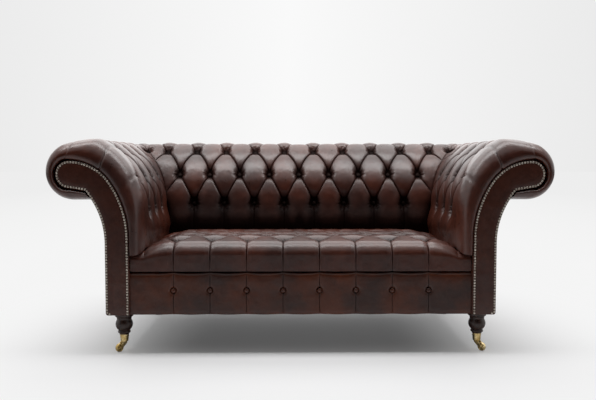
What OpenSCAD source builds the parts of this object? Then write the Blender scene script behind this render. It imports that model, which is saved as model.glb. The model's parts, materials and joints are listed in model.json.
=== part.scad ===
// Chesterfield sofa: scrolled arms and back at one height, deep buttoned, on turned legs with castors.
// Frame: X across the sofa, +Y towards its back, +Z up. Origin on the floor under the middle of the sofa.
// A section point is [u, z]: u is measured outwards from the inner face of an arm or of the back.

/* [Overall] */
// Width over the arm rolls
width = 1900; // [1750:10:2300]
// Depth from the front of the arms to the back of the rear roll
depth = 952; // [900:2:1100]
// Height of the arm and back crest
height = 806; // [782:1:852]
// Height of the body's underside over the floor
base_z = 149; // [142:1:162]

/* [Arm and back section] */
// How far the roll reaches outwards from the inner face
roll_reach = 357; // [350:1:365]
// Radius of the roll
roll_r = 105; // [102:1:112]
// Drop from the crest to the middle of the roll
roll_drop = 117; // [114:1:122]
// Distance of the crest from the inner face
crest_u = 172; // [165:1:180]
// Radius of the shoulder inside the crest
shoulder_r = 45; // [35:1:60]
// Radius of the inner face below the shoulder
face_r = 303; // [290:1:320]
// Thickness of an arm at its base
arm_wall = 139; // [133:1:147]
// Thickness of the back at its base
back_wall = 190; // [180:1:200]
// Radius of the outside wall's flare under the roll
flare_r = 308; // [295:1:325]
// Drop from the crest to where the arm's outside wall starts to flare
arm_flare_drop = 386; // [375:1:396]
// Drop from the crest to where the back's outside wall starts to flare
back_flare_drop = 334; // [324:1:344]
// How much the rear corners are rounded, as a share of the distance from the inner corner
corner_share = 0.4; // [0.2:0.05:0.6]
// Rounding of the padded border round each arm front
front_round = 22; // [8:1:24]

/* [Arm facing] */
// Thickness of the padding between the inner face and the facing
pad_t = 50; // [46:1:54]
// Radius of the facing's inner edge
facing_r = 380; // [370:1:390]
// Drop from the crest to where the facing's inner edge starts to curve
facing_curve_drop = 369; // [362:1:376]
// Radius of the facing's round end
facing_end_r = 52; // [48:1:55]
// Distance of the round end's middle from the inner face
facing_end_u = 265; // [260:1:268]
// Drop from the crest to the middle of the round end
facing_end_drop = 129; // [125:1:133]
// Thickness of the facing panel
facing_t = 14; // [10:1:18]
// How far the facing lies behind the padded border
facing_recess = 14; // [10:1:20]
// Diameter of a nail head
nail_d = 9.5; // [8:0.1:10]
// Distance between nails
nail_pitch = 10.4; // [10.2:0.1:16]
// Distance of the nails from the facing's edge
nail_inset = 6.5; // [5:0.5:9]

/* [Seat and border] */
// Height of the seat's crown
seat_z = 432; // [417:1:452]
// Height of the top of the front border
border_top_z = 310; // [300:1:320]
// Height at which the arm and back pads end on the seat
pad_foot_z = 375; // [362:1:387]
// Radius of the seat's front edge
seat_edge_r = 55; // [30:1:60]
// How far the seat and the border lie behind the arm fronts
seat_recess = 22; // [16:1:26]

/* [Buttons] */
// Distance between buttons along a row
button_pitch = 137.5; // [125:0.5:150]
// Distance between rows, measured over the leather
row_pitch = 145; // [135:1:148]
// Drop from the crest to the lowest row on the arms and back
low_row_drop = 274; // [269:1:284]
// Diameter of a covered button
button_d = 22; // [18:1:26]
// Thickness of a covered button
button_t = 7; // [5:0.5:9]
// Depth of the arm and back buttons below the crown of the leather
button_depth = 30; // [20:1:33]
// Depth of the seat buttons below the crown of the leather
seat_button_depth = 24; // [18:1:30]
// Depth of the border buttons
border_button_depth = 9; // [8:1:14]
// Height of the border buttons
border_button_z = 239; // [222:1:247]
// Distance of the first seat row from the front
seat_row_y = 140; // [120:1:160]
// Width of a button's hollow at the surface
hollow_d = 62; // [40:1:76]

/* [Frame] */
// Thickness of the rails and posts
rail_t = 28; // [24:1:32]
// Height of the back's base rail
base_rail_h = 100; // [80:1:130]
// Height of the tack rails
tack_rail_h = 40; // [30:1:60]
// Width of the rails inside the rolls
roll_rail_w = 56; // [40:1:64]
// How far the rails in the rolls reach past the inner corners
roll_rail_reach = 100; // [40:1:120]
// Thickness of the outside covers
cover_t = 6; // [4:0.5:8]
// Number of zig-zag springs
spring_count = 9; // [5:2:9]
// Thickness of the spring wire
wire_t = 3.6; // [3:0.1:4.5]
// Width of a spring
spring_w = 44; // [36:1:50]
// Length of one zig-zag of a spring
spring_run = 30; // [24:1:40]
// Width of a webbing strap
strap_w = 50; // [40:1:60]
// Thickness of webbing and lining cloth
cloth_t = 2; // [1.2:0.1:2.4]
// Diameter of a leg bolt
bolt_d = 8; // [6:0.5:10]

/* [Legs and castors] */
// Distance of a leg's middle from the side of the body
leg_inset = 54; // [50:1:58]
// Greatest diameter of a turned leg
leg_d = 65; // [58:1:68]
// Diameter of a leg's top
leg_top_d = 69; // [60:1:72]
// Diameter of the ring above the castor
leg_ring_d = 48; // [42:1:50]
// Side of a rear leg at its top
rear_leg_top = 54; // [46:1:58]
// Side of a rear leg at the floor
rear_leg_foot = 36; // [30:1:44]
// How far a rear leg's foot lies behind its top
rear_leg_rake = 22; // [0:1:30]
// Height of the top of a castor's cup
cup_top_z = 65; // [62:1:68]
// Height of the underside of a castor's cup
cup_foot_z = 38; // [37.5:0.5:42]
// Outer diameter of a cup at its top
cup_top_d = 34; // [30:0.5:36]
// Outer diameter of a cup at its foot
cup_foot_d = 29; // [27:0.5:30]
// Diameter of a castor wheel
wheel_d = 32; // [28:0.5:33]
// Width of a castor wheel
wheel_w = 13; // [10:0.5:15]
// Distance of the wheel's axle from the swivel pin
castor_trail = 24; // [22:0.5:28]
// Direction of the wheels, turned outwards from straight ahead
castor_turn = 38; // [0:1:60]
// Diameter of the axle
axle_d = 6; // [4:0.5:7]
// Diameter of the swivel pin
pin_d = 8; // [6:0.5:9]

/* [Hidden] */

$fn = 48;
leather = [0.23, 0.11, 0.09];
timber = [0.76, 0.62, 0.42];
dark_wood = [0.13, 0.09, 0.08];
brass = [0.78, 0.62, 0.33];
dull_brass = [0.5, 0.45, 0.36];
steel = [0.6, 0.6, 0.62];
cloth = [0.12, 0.11, 0.1];
jute = [0.62, 0.52, 0.36];

gap = 0.3;              // clearance between soft pieces and their neighbours
running_gap = 0.05;     // radial clearance round a pin, screw or axle
tuck_gap = 2;           // clearance between the seat's hidden edges and the webbing
face_steps = 9;         // straight stretches along each arc of the padding's outer side
shoulder_steps = 4;
crest_steps = 3;
roll_top_steps = 9;
roll_foot_steps = 11;
edge_steps = 7;         // and along each arc of its inner side, with as many in all
top_steps = 8;
outer_steps = face_steps + shoulder_steps + crest_steps + roll_top_steps + roll_foot_steps;
end_steps = outer_steps - edge_steps - top_steps;
front_steps = 4;        // layers in the rounded front of an arm
corner_steps = 3;       // layers from a straight run to the mitre
flare_steps = 8;        // points along a flared outside wall
nail_h = 2.6;           // height of a nail head
clip_t = 1.5;           // thickness of a spring clip
clip_size = [14, 16];   // width and length of a spring clip
block_leg = 60;         // length of a triangular corner block along a rail
block_h = 60;           // height of the corner blocks
bolt_edge = 16;         // distance of a rear leg bolt from the edge of its block
bolt_in_leg = 35;       // length of a leg bolt inside the leg
bolt_in_rail = 45;      // length of a leg bolt inside the frame
back_straps = 8;        // webbing straps in the back
arm_straps = 3;         // webbing straps in each arm

// ---- Places that several pieces share ----

front_y = -depth / 2;
inner_x = width / 2 - roll_reach;
inner_y = depth / 2 - roll_reach;

facing_y = front_y + facing_recess;
post_front = facing_y + facing_t;
post_back = post_front + rail_t;
cover_front = post_front + gap;
seat_front = front_y + seat_recess;

rail_foot_z = base_z + cloth_t;
rail_top_z = border_top_z - wire_t - clip_t - 2 * gap;
seat_foot_z = border_top_z + cloth_t + gap;

web_u = pad_t + gap;                              // inner side of the webbing in an arm or the back
rail_u = web_u + cloth_t;                         // inner side of the rails behind the webbing
side_rail_u = arm_wall - cover_t - gap - rail_t;  // inner side of a side rail
side_rail_x = inner_x + side_rail_u;
base_rail_u = back_wall - cover_t - gap - rail_t; // inner side of the back's base rail
base_rail_y = inner_y + base_rail_u;
rear_rail_y = inner_y + rail_u;
tuck = inner_x + pad_t - tuck_gap;                // half the width of the seat below the arm pads
tuck_back = inner_y + pad_t - tuck_gap;           // back of the seat below the back pad

// ---- Section of the arms and the back ----

inward = 180;            // direction from the middle of an arc straight to the inner face
roll_c = [roll_reach - roll_r, height - roll_drop];
roll_foot_z = roll_c[1] - roll_r;
// The crest arc has its top at crest_u and touches the roll from outside.
crest_r = (pow(roll_c[0] - crest_u, 2) + pow(roll_drop, 2) - pow(roll_r, 2)) / (2 * (roll_drop - roll_r));
crest_c = [crest_u, height - crest_r];
crest_end = atan2(roll_c[1] - crest_c[1], roll_c[0] - crest_c[0]);
shoulder_c = [crest_u, height - shoulder_r];
face_c = [face_r, shoulder_c[1] - sqrt(pow(face_r - shoulder_r, 2) - pow(face_r - crest_u, 2))];
face_end = atan2(shoulder_c[1] - face_c[1], shoulder_c[0] - face_c[0]);

// The facing's top arc has its top over the round end and touches the inner edge from inside.
end_c = [facing_end_u, height - facing_end_drop];
end_top = end_c[1] + facing_end_r;
edge_c = [pad_t + facing_r, height - facing_curve_drop];
edge_dx = edge_c[0] - end_c[0];
edge_dz = end_top - edge_c[1];
top_r = (pow(facing_r, 2) - pow(edge_dx, 2) - pow(edge_dz, 2)) / (2 * (facing_r - edge_dz));
top_c = [end_c[0], end_top - top_r];
top_start = atan2(top_c[1] - edge_c[1], top_c[0] - edge_c[0]);
facing_foot_z = end_c[1] - facing_end_r;
cover_top = roll_foot_z - gap;

// The outside wall of an arm and of the back: thickness at the base, height where its flare starts.
arm = [arm_wall, height - arm_flare_drop];
back = [back_wall, height - back_flare_drop];

// Points of an arc of n steps round c from angle a to angle b, from point number first on.
function arc(c, r, a, b, n, first = 1) =
  [for (k = [first:n]) c + r * [cos(a + (b - a) * k / n), sin(a + (b - a) * k / n)]];

function reversed(list) = [for (k = [len(list) - 1:-1:0]) list[k]];

// The outside wall's distance from the inner face at height z, taken in by i.
function wall_u(side, z, i = 0) =
  z <= side[1] ? side[0] - i
  : side[0] + flare_r - sqrt(pow(flare_r + i, 2) - pow(z - side[1], 2));

// Inner face, shoulder, crest, roll and its underside as far as the wall, taken in by i.
function outer_path(side, i) = concat(
  [[i, pad_foot_z]],
  arc(face_c, face_r - i, inward, face_end, face_steps, 0),
  arc(shoulder_c, shoulder_r - i, face_end, 90, shoulder_steps),
  arc(crest_c, crest_r - i, 90, crest_end, crest_steps),
  arc(roll_c, roll_r - i, crest_end, 0, roll_top_steps),
  arc(roll_c, roll_r - i, 0, -90, roll_foot_steps),
  [[wall_u(side, roll_foot_z + i) + gap, roll_foot_z + i]]
);

// Inner edge of the space inside the padding, from height foot to its top, taken in by i.
function edge_path(i, foot) =
  let (
    r = facing_r - i,
    rise = max(0, foot - edge_c[1]),
    start = inward - asin(rise / r),
    bent = rise > 0 ? 1 : 0
  )
  concat(
    [[edge_c[0] + r * cos(start), foot]],
    arc(edge_c, r, start, top_start, edge_steps + bent, bent),
    arc(top_c, top_r - i, top_start, 90, top_steps)
  );

// The same edge, then the round end and its underside as far as the wall, which is taken in by wall_i.
function core_path(side, i, wall_i, foot) = concat(
  edge_path(i, foot),
  arc(end_c, facing_end_r - i, 90, -90, end_steps),
  [[wall_u(side, facing_foot_z + i, wall_i), facing_foot_z + i]]
);

// The wall from height top down to height foot, taken in by i.
function wall_path(side, i, top, foot) = concat(
  [for (k = [1:flare_steps]) let (z = top + (side[1] - top) * k / flare_steps) [wall_u(side, z, i), z]],
  [[side[0] - i, foot]]
);

// Outline of the whole space inside the padding and the outside wall.
function core_outline(side, i, wall_i, foot) =
  concat(core_path(side, i, wall_i, foot), wall_path(side, wall_i, facing_foot_z + i, foot));

// Section of the padding: outer side taken in by i, then the inner side pushed out by a third of it.
function pad_path(side, i) = concat(outer_path(side, i), reversed(core_path(side, -i / 3, 0, pad_foot_z)));

// Plan position of distance u at angle a round a rear corner: 0 along the arm, 90 along the back.
function corner(u, a) =
  let (r = corner_share * u)
  [inner_x + u - r + r * cos(a), inner_y + u - r + r * sin(a)];

function front_layer(a) =
  let (y = front_y + front_round * (1 - cos(a)))
  [for (p = pad_path(arm, front_round * (1 - sin(a)))) [inner_x + p[0], y, p[1]]];

function corner_layer(side, a, shift_y = 0) =
  [for (p = pad_path(side, 0)) let (c = corner(p[0], a)) [c[0], c[1] + shift_y, p[1]]];

function mirrored(points) = [for (p = points) [-p[0], p[1], p[2]]];

mitre_gap = 1.5 * gap;
arm_pad_layers = concat(
  [for (k = [0:front_steps]) front_layer(90 * k / front_steps)],
  [for (k = [0:corner_steps]) corner_layer(arm, 45 * k / corner_steps, k == corner_steps ? -mitre_gap : 0)]
);
back_right_layers = [for (k = [0:corner_steps]) corner_layer(back, 45 + 45 * k / corner_steps)];
back_pad_layers = concat(
  back_right_layers,
  [for (k = [corner_steps:-1:0]) mirrored(back_right_layers[k])]
);

// Solid through a list of layers. Each is a closed loop that goes along one side of the section and back
// along the other, so its ends are closed by triangles between point k and the k-th point from the end.
module loft(layers) {
  n = len(layers[0]);
  last = len(layers) - 1;
  end = [for (k = [0:n / 2 - 2]) each [[k, k + 1, n - 2 - k], [k, n - 2 - k, n - 1 - k]]];
  sides = [
    for (l = [0:last - 1]) for (k = [0:n - 1])
      let (here = l * n, there = here + n, next = (k + 1) % n)
      each [[here + k, there + next, here + next], [here + k, there + k, there + next]]
  ];
  far_end = [for (f = end) [for (k = reversed(f)) last * n + k]];
  polyhedron(points = [for (l = layers) for (p = l) p], faces = concat(end, sides, far_end), convexity = 8);
}

// Draws the right-hand piece, or its mirror image for s = -1.
module on_side(s) {
  if (s > 0) children();
  else mirror([1, 0, 0]) children();
}

// Extrudes a section of the right-hand arm from y0 to y1.
module along_arm(y0, y1) {
  translate([inner_x, y1, 0]) rotate([90, 0, 0]) linear_extrude(y1 - y0) children();
}

// Extrudes a section of the back from x0 to x1.
module along_back(x0, x1) {
  translate([x0, inner_y, 0]) rotate([90, 0, 90]) linear_extrude(x1 - x0) children();
}

// ---- Buttons ----

low_row_z = height - low_row_drop;
turn_per_length = 180 / PI;
face_start = face_c[1] - low_row_z;
shoulder_start = face_start + face_r * (inward - face_end) / turn_per_length;
crest_start = shoulder_start + shoulder_r * (face_end - 90) / turn_per_length;

// Direction out of the leather at distance s over it from the lowest row, as an angle in the section.
function out_angle(s) =
  s <= face_start ? inward
  : s <= shoulder_start ? inward - (s - face_start) / face_r * turn_per_length
  : s <= crest_start ? face_end - (s - shoulder_start) / shoulder_r * turn_per_length
  : 90 - (s - crest_start) / crest_r * turn_per_length;

// Point of the section at that distance.
function surface_point(s) =
  let (a = out_angle(s), n = [cos(a), sin(a)])
  s <= face_start ? [0, low_row_z + s]
  : s <= shoulder_start ? face_c + face_r * n
  : s <= crest_start ? shoulder_c + shoulder_r * n
  : crest_c + crest_r * n;

// Distances of a row's buttons from the middle: even rows start half a pitch out, odd rows on the middle.
function columns(row, reach) = [for (x = [row % 2 == 0 ? button_pitch / 2 : 0:button_pitch:reach]) x];
function both_ways(list) = [for (x = list) each x == 0 ? [0] : [-x, x]];
wall_rows = [0:3];
corner_row = 2;
function row_columns(row) = columns(row, inner_x + surface_point(row * row_pitch)[0] - button_pitch / 2);
function back_row(row) = both_ways(row_columns(row));
// The arm's buttons lie as far from the inner corner as the back's do.
function arm_row(row) =
  [for (x = row_columns(row)) let (y = inner_y - inner_x + x) if (y > front_y + 0.9 * button_pitch) y];
seat_rows = [0:floor((inner_y - front_y - seat_row_y) / button_pitch - 0.5)];
function seat_row(row) = both_ways(columns(row, inner_x - 0.3 * button_pitch));

// Places children at distance s over the leather, with +Z out of it.
module on_section(s) {
  p = surface_point(s);
  translate([p[0], 0, p[1]]) rotate([0, 90 - out_angle(s), 0]) children();
}

// Places children on the mitre of the right-hand corner, where the section is stretched.
module at_corner_button() {
  s = corner_row * row_pitch;
  p = surface_point(s);
  c = corner(p[0], 45);
  stretch = norm(c - [inner_x, inner_y]) / p[0];
  tilt = atan2(stretch * sin(out_angle(s)), cos(out_angle(s)));
  translate([c[0], c[1], p[1]]) rotate([0, 0, 45]) rotate([0, 90 - tilt, 0]) children();
}

module at_back_buttons() {
  for (row = wall_rows) for (x = back_row(row))
    translate([x, inner_y, 0]) rotate([0, 0, 90]) on_section(row * row_pitch) children();
  at_corner_button() children();
  mirror([1, 0, 0]) at_corner_button() children();
}

module at_arm_buttons() {
  for (row = wall_rows) for (y = arm_row(row))
    translate([inner_x, y, 0]) on_section(row * row_pitch) children();
}

module at_seat_buttons() {
  for (row = seat_rows) for (x = seat_row(row))
    translate([x, front_y + seat_row_y + row * button_pitch, seat_z]) children();
}

module at_border_buttons() {
  for (x = seat_row(0)) translate([x, seat_front, border_button_z]) rotate([90, 0, 0]) children();
}

// A covered button, flat underneath, lying depth below the surface.
module button(depth) {
  rim_h = button_t * 0.55;
  translate([0, 0, -depth]) cylinder(h = rim_h, d = button_d);
  translate([0, 0, rim_h - depth]) cylinder(h = button_t - rim_h, d1 = button_d, d2 = button_d * 0.6);
}

// The hollow that the button pulls into the padding.
module hollow(depth) {
  translate([0, 0, -depth - gap]) cylinder(h = depth + gap + 1, d1 = button_d + 2 * gap, d2 = hollow_d);
}

module arm_buttons() {
  color(leather) at_arm_buttons() button(button_depth);
}

module back_buttons() {
  color(leather) at_back_buttons() button(button_depth);
}

module seat_buttons() {
  color(leather) at_seat_buttons() button(seat_button_depth);
}

module border_buttons() {
  color(leather) at_border_buttons() button(border_button_depth);
}

// ---- Padding ----

module arm_pad() {
  color(leather) difference() {
    loft(arm_pad_layers);
    at_arm_buttons() hollow(button_depth);
    at_corner_button() hollow(button_depth);
  }
}

module back_pad() {
  color(leather) difference() {
    loft(back_pad_layers);
    at_back_buttons() hollow(button_depth);
  }
}

module seat_section() {
  polygon(concat(
    [[seat_front, seat_foot_z]],
    arc([seat_front + seat_edge_r, seat_z - seat_edge_r], seat_edge_r, inward, 90, edge_steps, 0),
    [
      [inner_y - gap, seat_z], [inner_y - gap, pad_foot_z - gap],
      [tuck_back, pad_foot_z - gap], [tuck_back, seat_foot_z]
    ]
  ));
}

// The seat runs under the arm and back pads, where it is lower.
module seat_pad() {
  color(leather) difference() {
    translate([-tuck, 0, 0]) rotate([90, 0, 90]) linear_extrude(2 * tuck) seat_section();
    for (x = [inner_x - gap, gap - inner_x - 2 * pad_t]) translate([x, front_y, pad_foot_z - gap])
      cube([2 * pad_t, depth, height]);
    at_seat_buttons() hollow(seat_button_depth);
  }
}

module front_border() {
  reach = inner_x + pad_t - gap;
  color(leather) difference() {
    translate([-reach, seat_front, base_z])
      cube([2 * reach, post_back - gap - seat_front, border_top_z - base_z]);
    at_border_buttons() hollow(border_button_depth);
  }
}

// ---- Facings, nails and outside covers ----

module arm_facing() {
  color(leather) along_arm(facing_y, post_front) polygon(core_outline(arm, gap, 0, base_z));
}

// Running length of a path at each of its points.
function running_lengths(p, k = 0, done = 0) =
  k == len(p) - 1 ? [done] : concat([done], running_lengths(p, k + 1, done + norm(p[k + 1] - p[k])));

function along(p, lengths, s) =
  let (k = max([for (j = [0:len(p) - 2]) if (lengths[j] <= s) j]))
  p[k] + (p[k + 1] - p[k]) * (s - lengths[k]) / (lengths[k + 1] - lengths[k]);

nail_path = core_outline(arm, nail_inset, nail_inset, base_z + nail_inset);
nail_lengths = running_lengths(nail_path);
nail_spaces = floor(nail_lengths[len(nail_path) - 1] / nail_pitch);
nail_step = nail_lengths[len(nail_path) - 1] / nail_spaces;

module facing_nails() {
  color(dull_brass) for (k = [0:nail_spaces]) {
    p = along(nail_path, nail_lengths, k * nail_step);
    translate([inner_x + p[0], facing_y, p[1]]) rotate([90, 0, 0])
      cylinder(h = nail_h, d1 = nail_d, d2 = nail_d * 0.5);
  }
}

function wall_heights(side) =
  concat([base_z], [for (k = [0:flare_steps]) side[1] + (cover_top - side[1]) * k / flare_steps]);

// Everything between the outside walls of the arms, which are taken in by i.
module between_arm_walls(i) {
  right = [for (z = wall_heights(arm)) [inner_x + wall_u(arm, z, i), z]];
  left = [for (p = right) [-p[0], p[1]]];
  translate([0, depth, 0]) rotate([90, 0, 0]) linear_extrude(2 * depth)
    polygon(concat(right, reversed(left)));
}

// Everything in front of the back's outside wall, which is taken in by i.
module before_back_wall(i) {
  wall = [for (z = wall_heights(back)) [inner_y + wall_u(back, z, i), z]];
  translate([-width, 0, 0]) rotate([90, 0, 90]) linear_extrude(2 * width)
    polygon(concat(wall, [[-depth, cover_top], [-depth, base_z]]));
}

module outside_arm() {
  color(leather) difference() {
    intersection() {
      between_arm_walls(0);
      before_back_wall(cover_t + gap);
      translate([0, cover_front, 0]) cube([width, depth, height]);
    }
    between_arm_walls(cover_t);
  }
}

module outside_back() {
  color(leather) difference() {
    intersection() {
      between_arm_walls(0);
      before_back_wall(0);
      translate([-width, 0, 0]) cube([2 * width, depth, height]);
    }
    before_back_wall(cover_t);
  }
}

module dust_cover() {
  reach = inner_x + arm_wall - cover_t - gap;
  color(cloth) difference() {
    translate([-reach, post_back, base_z]) cube([2 * reach, base_rail_y + rail_t - post_back, cloth_t]);
    at_bolts() bolt_bore();
  }
}

// ---- Timber frame ----

module section_box(u0, u1, z0, z1) {
  translate([u0, z0]) square([u1 - u0, z1 - z0]);
}

module frame_outline(side, foot) {
  polygon(core_outline(side, rail_u - pad_t, cover_t + gap, foot));
}

module roll_rail_room() {
  section_box(end_c[0] - roll_rail_w / 2, end_c[0] + roll_rail_w / 2, end_c[1], height);
}

module side_rail_room() {
  section_box(side_rail_u, arm_wall, 0, rail_top_z);
}

module rear_rail_room() {
  section_box(rail_u, rail_u + rail_t, 0, rail_top_z);
}

module base_rail_room() {
  section_box(base_rail_u, back_wall, 0, rail_foot_z + base_rail_h);
}

module tack_rail_room() {
  section_box(rail_u, rail_u + rail_t, pad_foot_z, pad_foot_z + tack_rail_h);
}

module arm_front_post() {
  color(timber) along_arm(post_front, post_back) frame_outline(arm, base_z);
}

module arm_rear_post() {
  color(timber) along_arm(inner_y - rail_t, inner_y) difference() {
    frame_outline(arm, rail_foot_z);
    side_rail_room();
    roll_rail_room();
  }
}

module arm_roll_rail() {
  color(timber) along_arm(post_back, inner_y + roll_rail_reach) intersection() {
    frame_outline(arm, rail_foot_z);
    roll_rail_room();
  }
}

module arm_tack_rail() {
  color(timber) along_arm(post_back, inner_y - rail_t) intersection() {
    frame_outline(arm, rail_foot_z);
    tack_rail_room();
  }
}

spring_pitch = 2 * inner_x / spring_count;
upright_xs = let (x = spring_pitch * 1.5) [-inner_x, -x - rail_t / 2, x - rail_t / 2, inner_x - rail_t];

module back_uprights() {
  color(timber) for (x = upright_xs) along_back(x, x + rail_t) difference() {
    frame_outline(back, rail_foot_z);
    rear_rail_room();
    base_rail_room();
    tack_rail_room();
    roll_rail_room();
  }
}

module back_roll_rail() {
  color(timber) along_back(-inner_x - roll_rail_reach, inner_x + roll_rail_reach) intersection() {
    frame_outline(back, rail_foot_z);
    roll_rail_room();
  }
}

module back_tack_rail() {
  color(timber) along_back(-inner_x, inner_x) intersection() {
    frame_outline(back, rail_foot_z);
    tack_rail_room();
  }
}

module front_rail() {
  color(timber) difference() {
    translate([-side_rail_x, post_back, rail_foot_z])
      cube([2 * side_rail_x, rail_t, rail_top_z - rail_foot_z]);
    at_bolts() bolt_bore();
  }
}

module rear_seat_rail() {
  color(timber) translate([-side_rail_x, rear_rail_y, rail_foot_z])
    cube([2 * side_rail_x, rail_t, rail_top_z - rail_foot_z]);
}

module back_base_rail() {
  color(timber) translate([-side_rail_x, base_rail_y, rail_foot_z])
    cube([2 * side_rail_x, rail_t, base_rail_h]);
}

module side_rail() {
  color(timber) translate([side_rail_x, post_back, rail_foot_z])
    cube([rail_t, base_rail_y + rail_t - post_back, rail_top_z - rail_foot_z]);
}

module seat_stretchers() {
  y0 = post_back + rail_t;
  color(timber) for (x = upright_xs) if (abs(x + rail_t / 2) < inner_x / 2)
    translate([x, y0, rail_foot_z]) cube([rail_t, rear_rail_y - y0, block_h]);
}

// Triangular blocks stiffen the front corners. Square blocks at the rear corners hold the leg bolts.
module corner_blocks() {
  y0 = post_back + rail_t;
  y1 = rear_rail_y + rail_t;
  color(timber) difference() {
    for (s = [-1, 1]) on_side(s) translate([0, 0, rail_foot_z]) {
      linear_extrude(block_h)
        polygon([[side_rail_x, y0], [side_rail_x, y0 + block_leg], [side_rail_x - block_leg, y0]]);
      translate([inner_x + rail_u, y1, 0]) cube([side_rail_u - rail_u, base_rail_y - y1, block_h]);
    }
    at_bolts() bolt_bore();
  }
}

// ---- Springs, webbing and lining ----

spring_xs = [for (k = [0:spring_count - 1]) (k - (spring_count - 1) / 2) * spring_pitch];
spring_y0 = post_back + rail_t / 2;
spring_y1 = rear_rail_y + rail_t / 2;
spring_runs = round((spring_y1 - spring_y0) / spring_run);
spring_bend = 6;

// Corners of the zig-zag, two for each run across the spring.
function spring_corners() =
  [for (k = [0:spring_runs])
    let (y = spring_y0 + (spring_y1 - spring_y0) * k / spring_runs, x = (k % 2 == 0 ? 1 : -1) * spring_w / 2)
    each [[-x, y], [x, y]]];

// One side of the wire, with each corner cut off.
function spring_side(c, offset) =
  let (last = len(c) - 1, dirs = [for (k = [0:last - 1]) (c[k + 1] - c[k]) / norm(c[k + 1] - c[k])],
       normals = [for (d = dirs) offset * [-d[1], d[0]]])
  concat(
    [c[0] + normals[0]],
    [for (k = [1:last - 1]) each
      [c[k] - spring_bend * dirs[k - 1] + normals[k - 1], c[k] + spring_bend * dirs[k] + normals[k]]],
    [c[last] + normals[last - 1]]
  );

module seat_springs() {
  c = spring_corners();
  outline = concat(spring_side(c, wire_t / 2), reversed(spring_side(c, -wire_t / 2)));
  color(steel) for (x = spring_xs) translate([x, 0, rail_top_z])
    linear_extrude(wire_t) polygon(outline);
}

module spring_clips() {
  h = wire_t + gap + clip_t;
  slot = wire_t + 2 * gap;
  color(steel) for (x = spring_xs, y = [spring_y0, spring_y1]) translate([x, y, rail_top_z]) difference() {
    translate([-clip_size[0] / 2, -clip_size[1] / 2, 0]) cube([clip_size[0], clip_size[1], h]);
    translate([-clip_size[0], -slot / 2, -1]) cube([2 * clip_size[0], slot, wire_t + gap + 1]);
  }
}

module seat_lining() {
  color(jute) translate([-tuck, post_back, border_top_z])
    cube([2 * tuck, tuck_back - post_back, cloth_t]);
}

module strap_section() {
  polygon(concat(edge_path(web_u - pad_t, pad_foot_z), reversed(edge_path(rail_u - pad_t, pad_foot_z))));
}

module arm_webbing() {
  pitch = (inner_y - rail_t - post_back) / arm_straps;
  color(jute) for (k = [0:arm_straps - 1]) {
    y = post_back + (k + 0.5) * pitch;
    along_arm(y - strap_w / 2, y + strap_w / 2) strap_section();
  }
}

module back_webbing() {
  pitch = 2 * (inner_x - rail_t) / back_straps;
  color(jute) for (k = [0:back_straps - 1]) {
    x = (k + 0.5 - back_straps / 2) * pitch;
    along_back(x - strap_w / 2, x + strap_w / 2) strap_section();
  }
}

// ---- Legs ----

leg_x = inner_x + arm_wall - leg_inset;
front_leg_y = post_back + rail_t / 2;
rear_leg_y = base_rail_y - bolt_edge;
bead_z = cup_top_z + 12;     // middle of the ring above the cup
ball_foot_z = cup_top_z + 20;
ball_top_z = base_z - 26;
cup_wall = 1.6;
cup_floor = 3;
peg_gap = 0.1;
bolt_l = bolt_in_leg + cloth_t + bolt_in_rail;

module at_bolts() {
  for (x = [-leg_x, leg_x], y = [front_leg_y, rear_leg_y]) translate([x, y, base_z]) children();
}

module bolt_bore() {
  translate([0, 0, -bolt_in_leg]) cylinder(h = bolt_l, r = bolt_d / 2 + running_gap);
}

module leg_bolts() {
  color(steel) at_bolts() translate([0, 0, -bolt_in_leg]) cylinder(h = bolt_l, d = bolt_d);
}

// Radius of the cup's outside at height z.
function cup_r(z) =
  (cup_foot_d + (cup_top_d - cup_foot_d) * (z - cup_foot_z) / (cup_top_z - cup_foot_z)) / 2;

module at_cup_screws() {
  z = (cup_top_z + cup_foot_z) / 2 + 4;
  for (a = [30, 150]) rotate([0, 0, a]) translate([cup_r(z), 0, z]) rotate([0, 90, 0]) children();
}

module screw_bore() {
  translate([0, 0, -9]) cylinder(h = 12, r = 1.5 + running_gap);
}

// Turned profile from the top down: cove, ball, ring and the peg that the cup takes.
module turned_leg() {
  ball_z = (ball_foot_z + ball_top_z) / 2;
  ball_h = ball_top_z - ball_foot_z;
  ball_end_r = leg_ring_d / 2 - 1.5;
  peg_foot_z = cup_foot_z + cup_floor + peg_gap;
  cove_r = leg_top_d / 2 - 6;
  color(dark_wood) difference() {
    rotate_extrude() polygon(concat(
      [[0, base_z], [leg_top_d / 2, base_z], [leg_top_d / 2 - 1, base_z - 12]],
      [for (k = [1:4]) [cove_r + 5 * cos(90 * k / 4), base_z - 16 - 7 * sin(90 * k / 4)]],
      [for (k = [0:12]) let (t = k / 12) [
        ball_end_r + (1 - t) * (cove_r - ball_end_r) + (leg_d / 2 - (ball_end_r + cove_r) / 2) * sin(180 * t),
        ball_top_z - ball_h * t]],
      [for (k = [0:6]) [leg_ring_d / 2 - 4 + 4 * cos(-90 + 30 * k), bead_z + 5.5 * sin(90 - 30 * k)]],
      [[cup_top_d / 2 + 1, cup_top_z], [cup_r(cup_top_z) - cup_wall - peg_gap, cup_top_z],
       [cup_r(peg_foot_z) - cup_wall - peg_gap, peg_foot_z], [0, peg_foot_z]]
    ));
    translate([0, 0, base_z]) bolt_bore();
    translate([0, 0, cup_foot_z]) cylinder(h = pin_h + 1, r = pin_d / 2 + gap);
    at_cup_screws() screw_bore();
  }
}

module front_leg() {
  translate([leg_x, front_leg_y, 0]) turned_leg();
}

// A thin square plate round [0, y] at height z.
module square_plate(side, y, z) {
  translate([-side / 2, y - side / 2, z]) cube([side, side, 1]);
}

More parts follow.
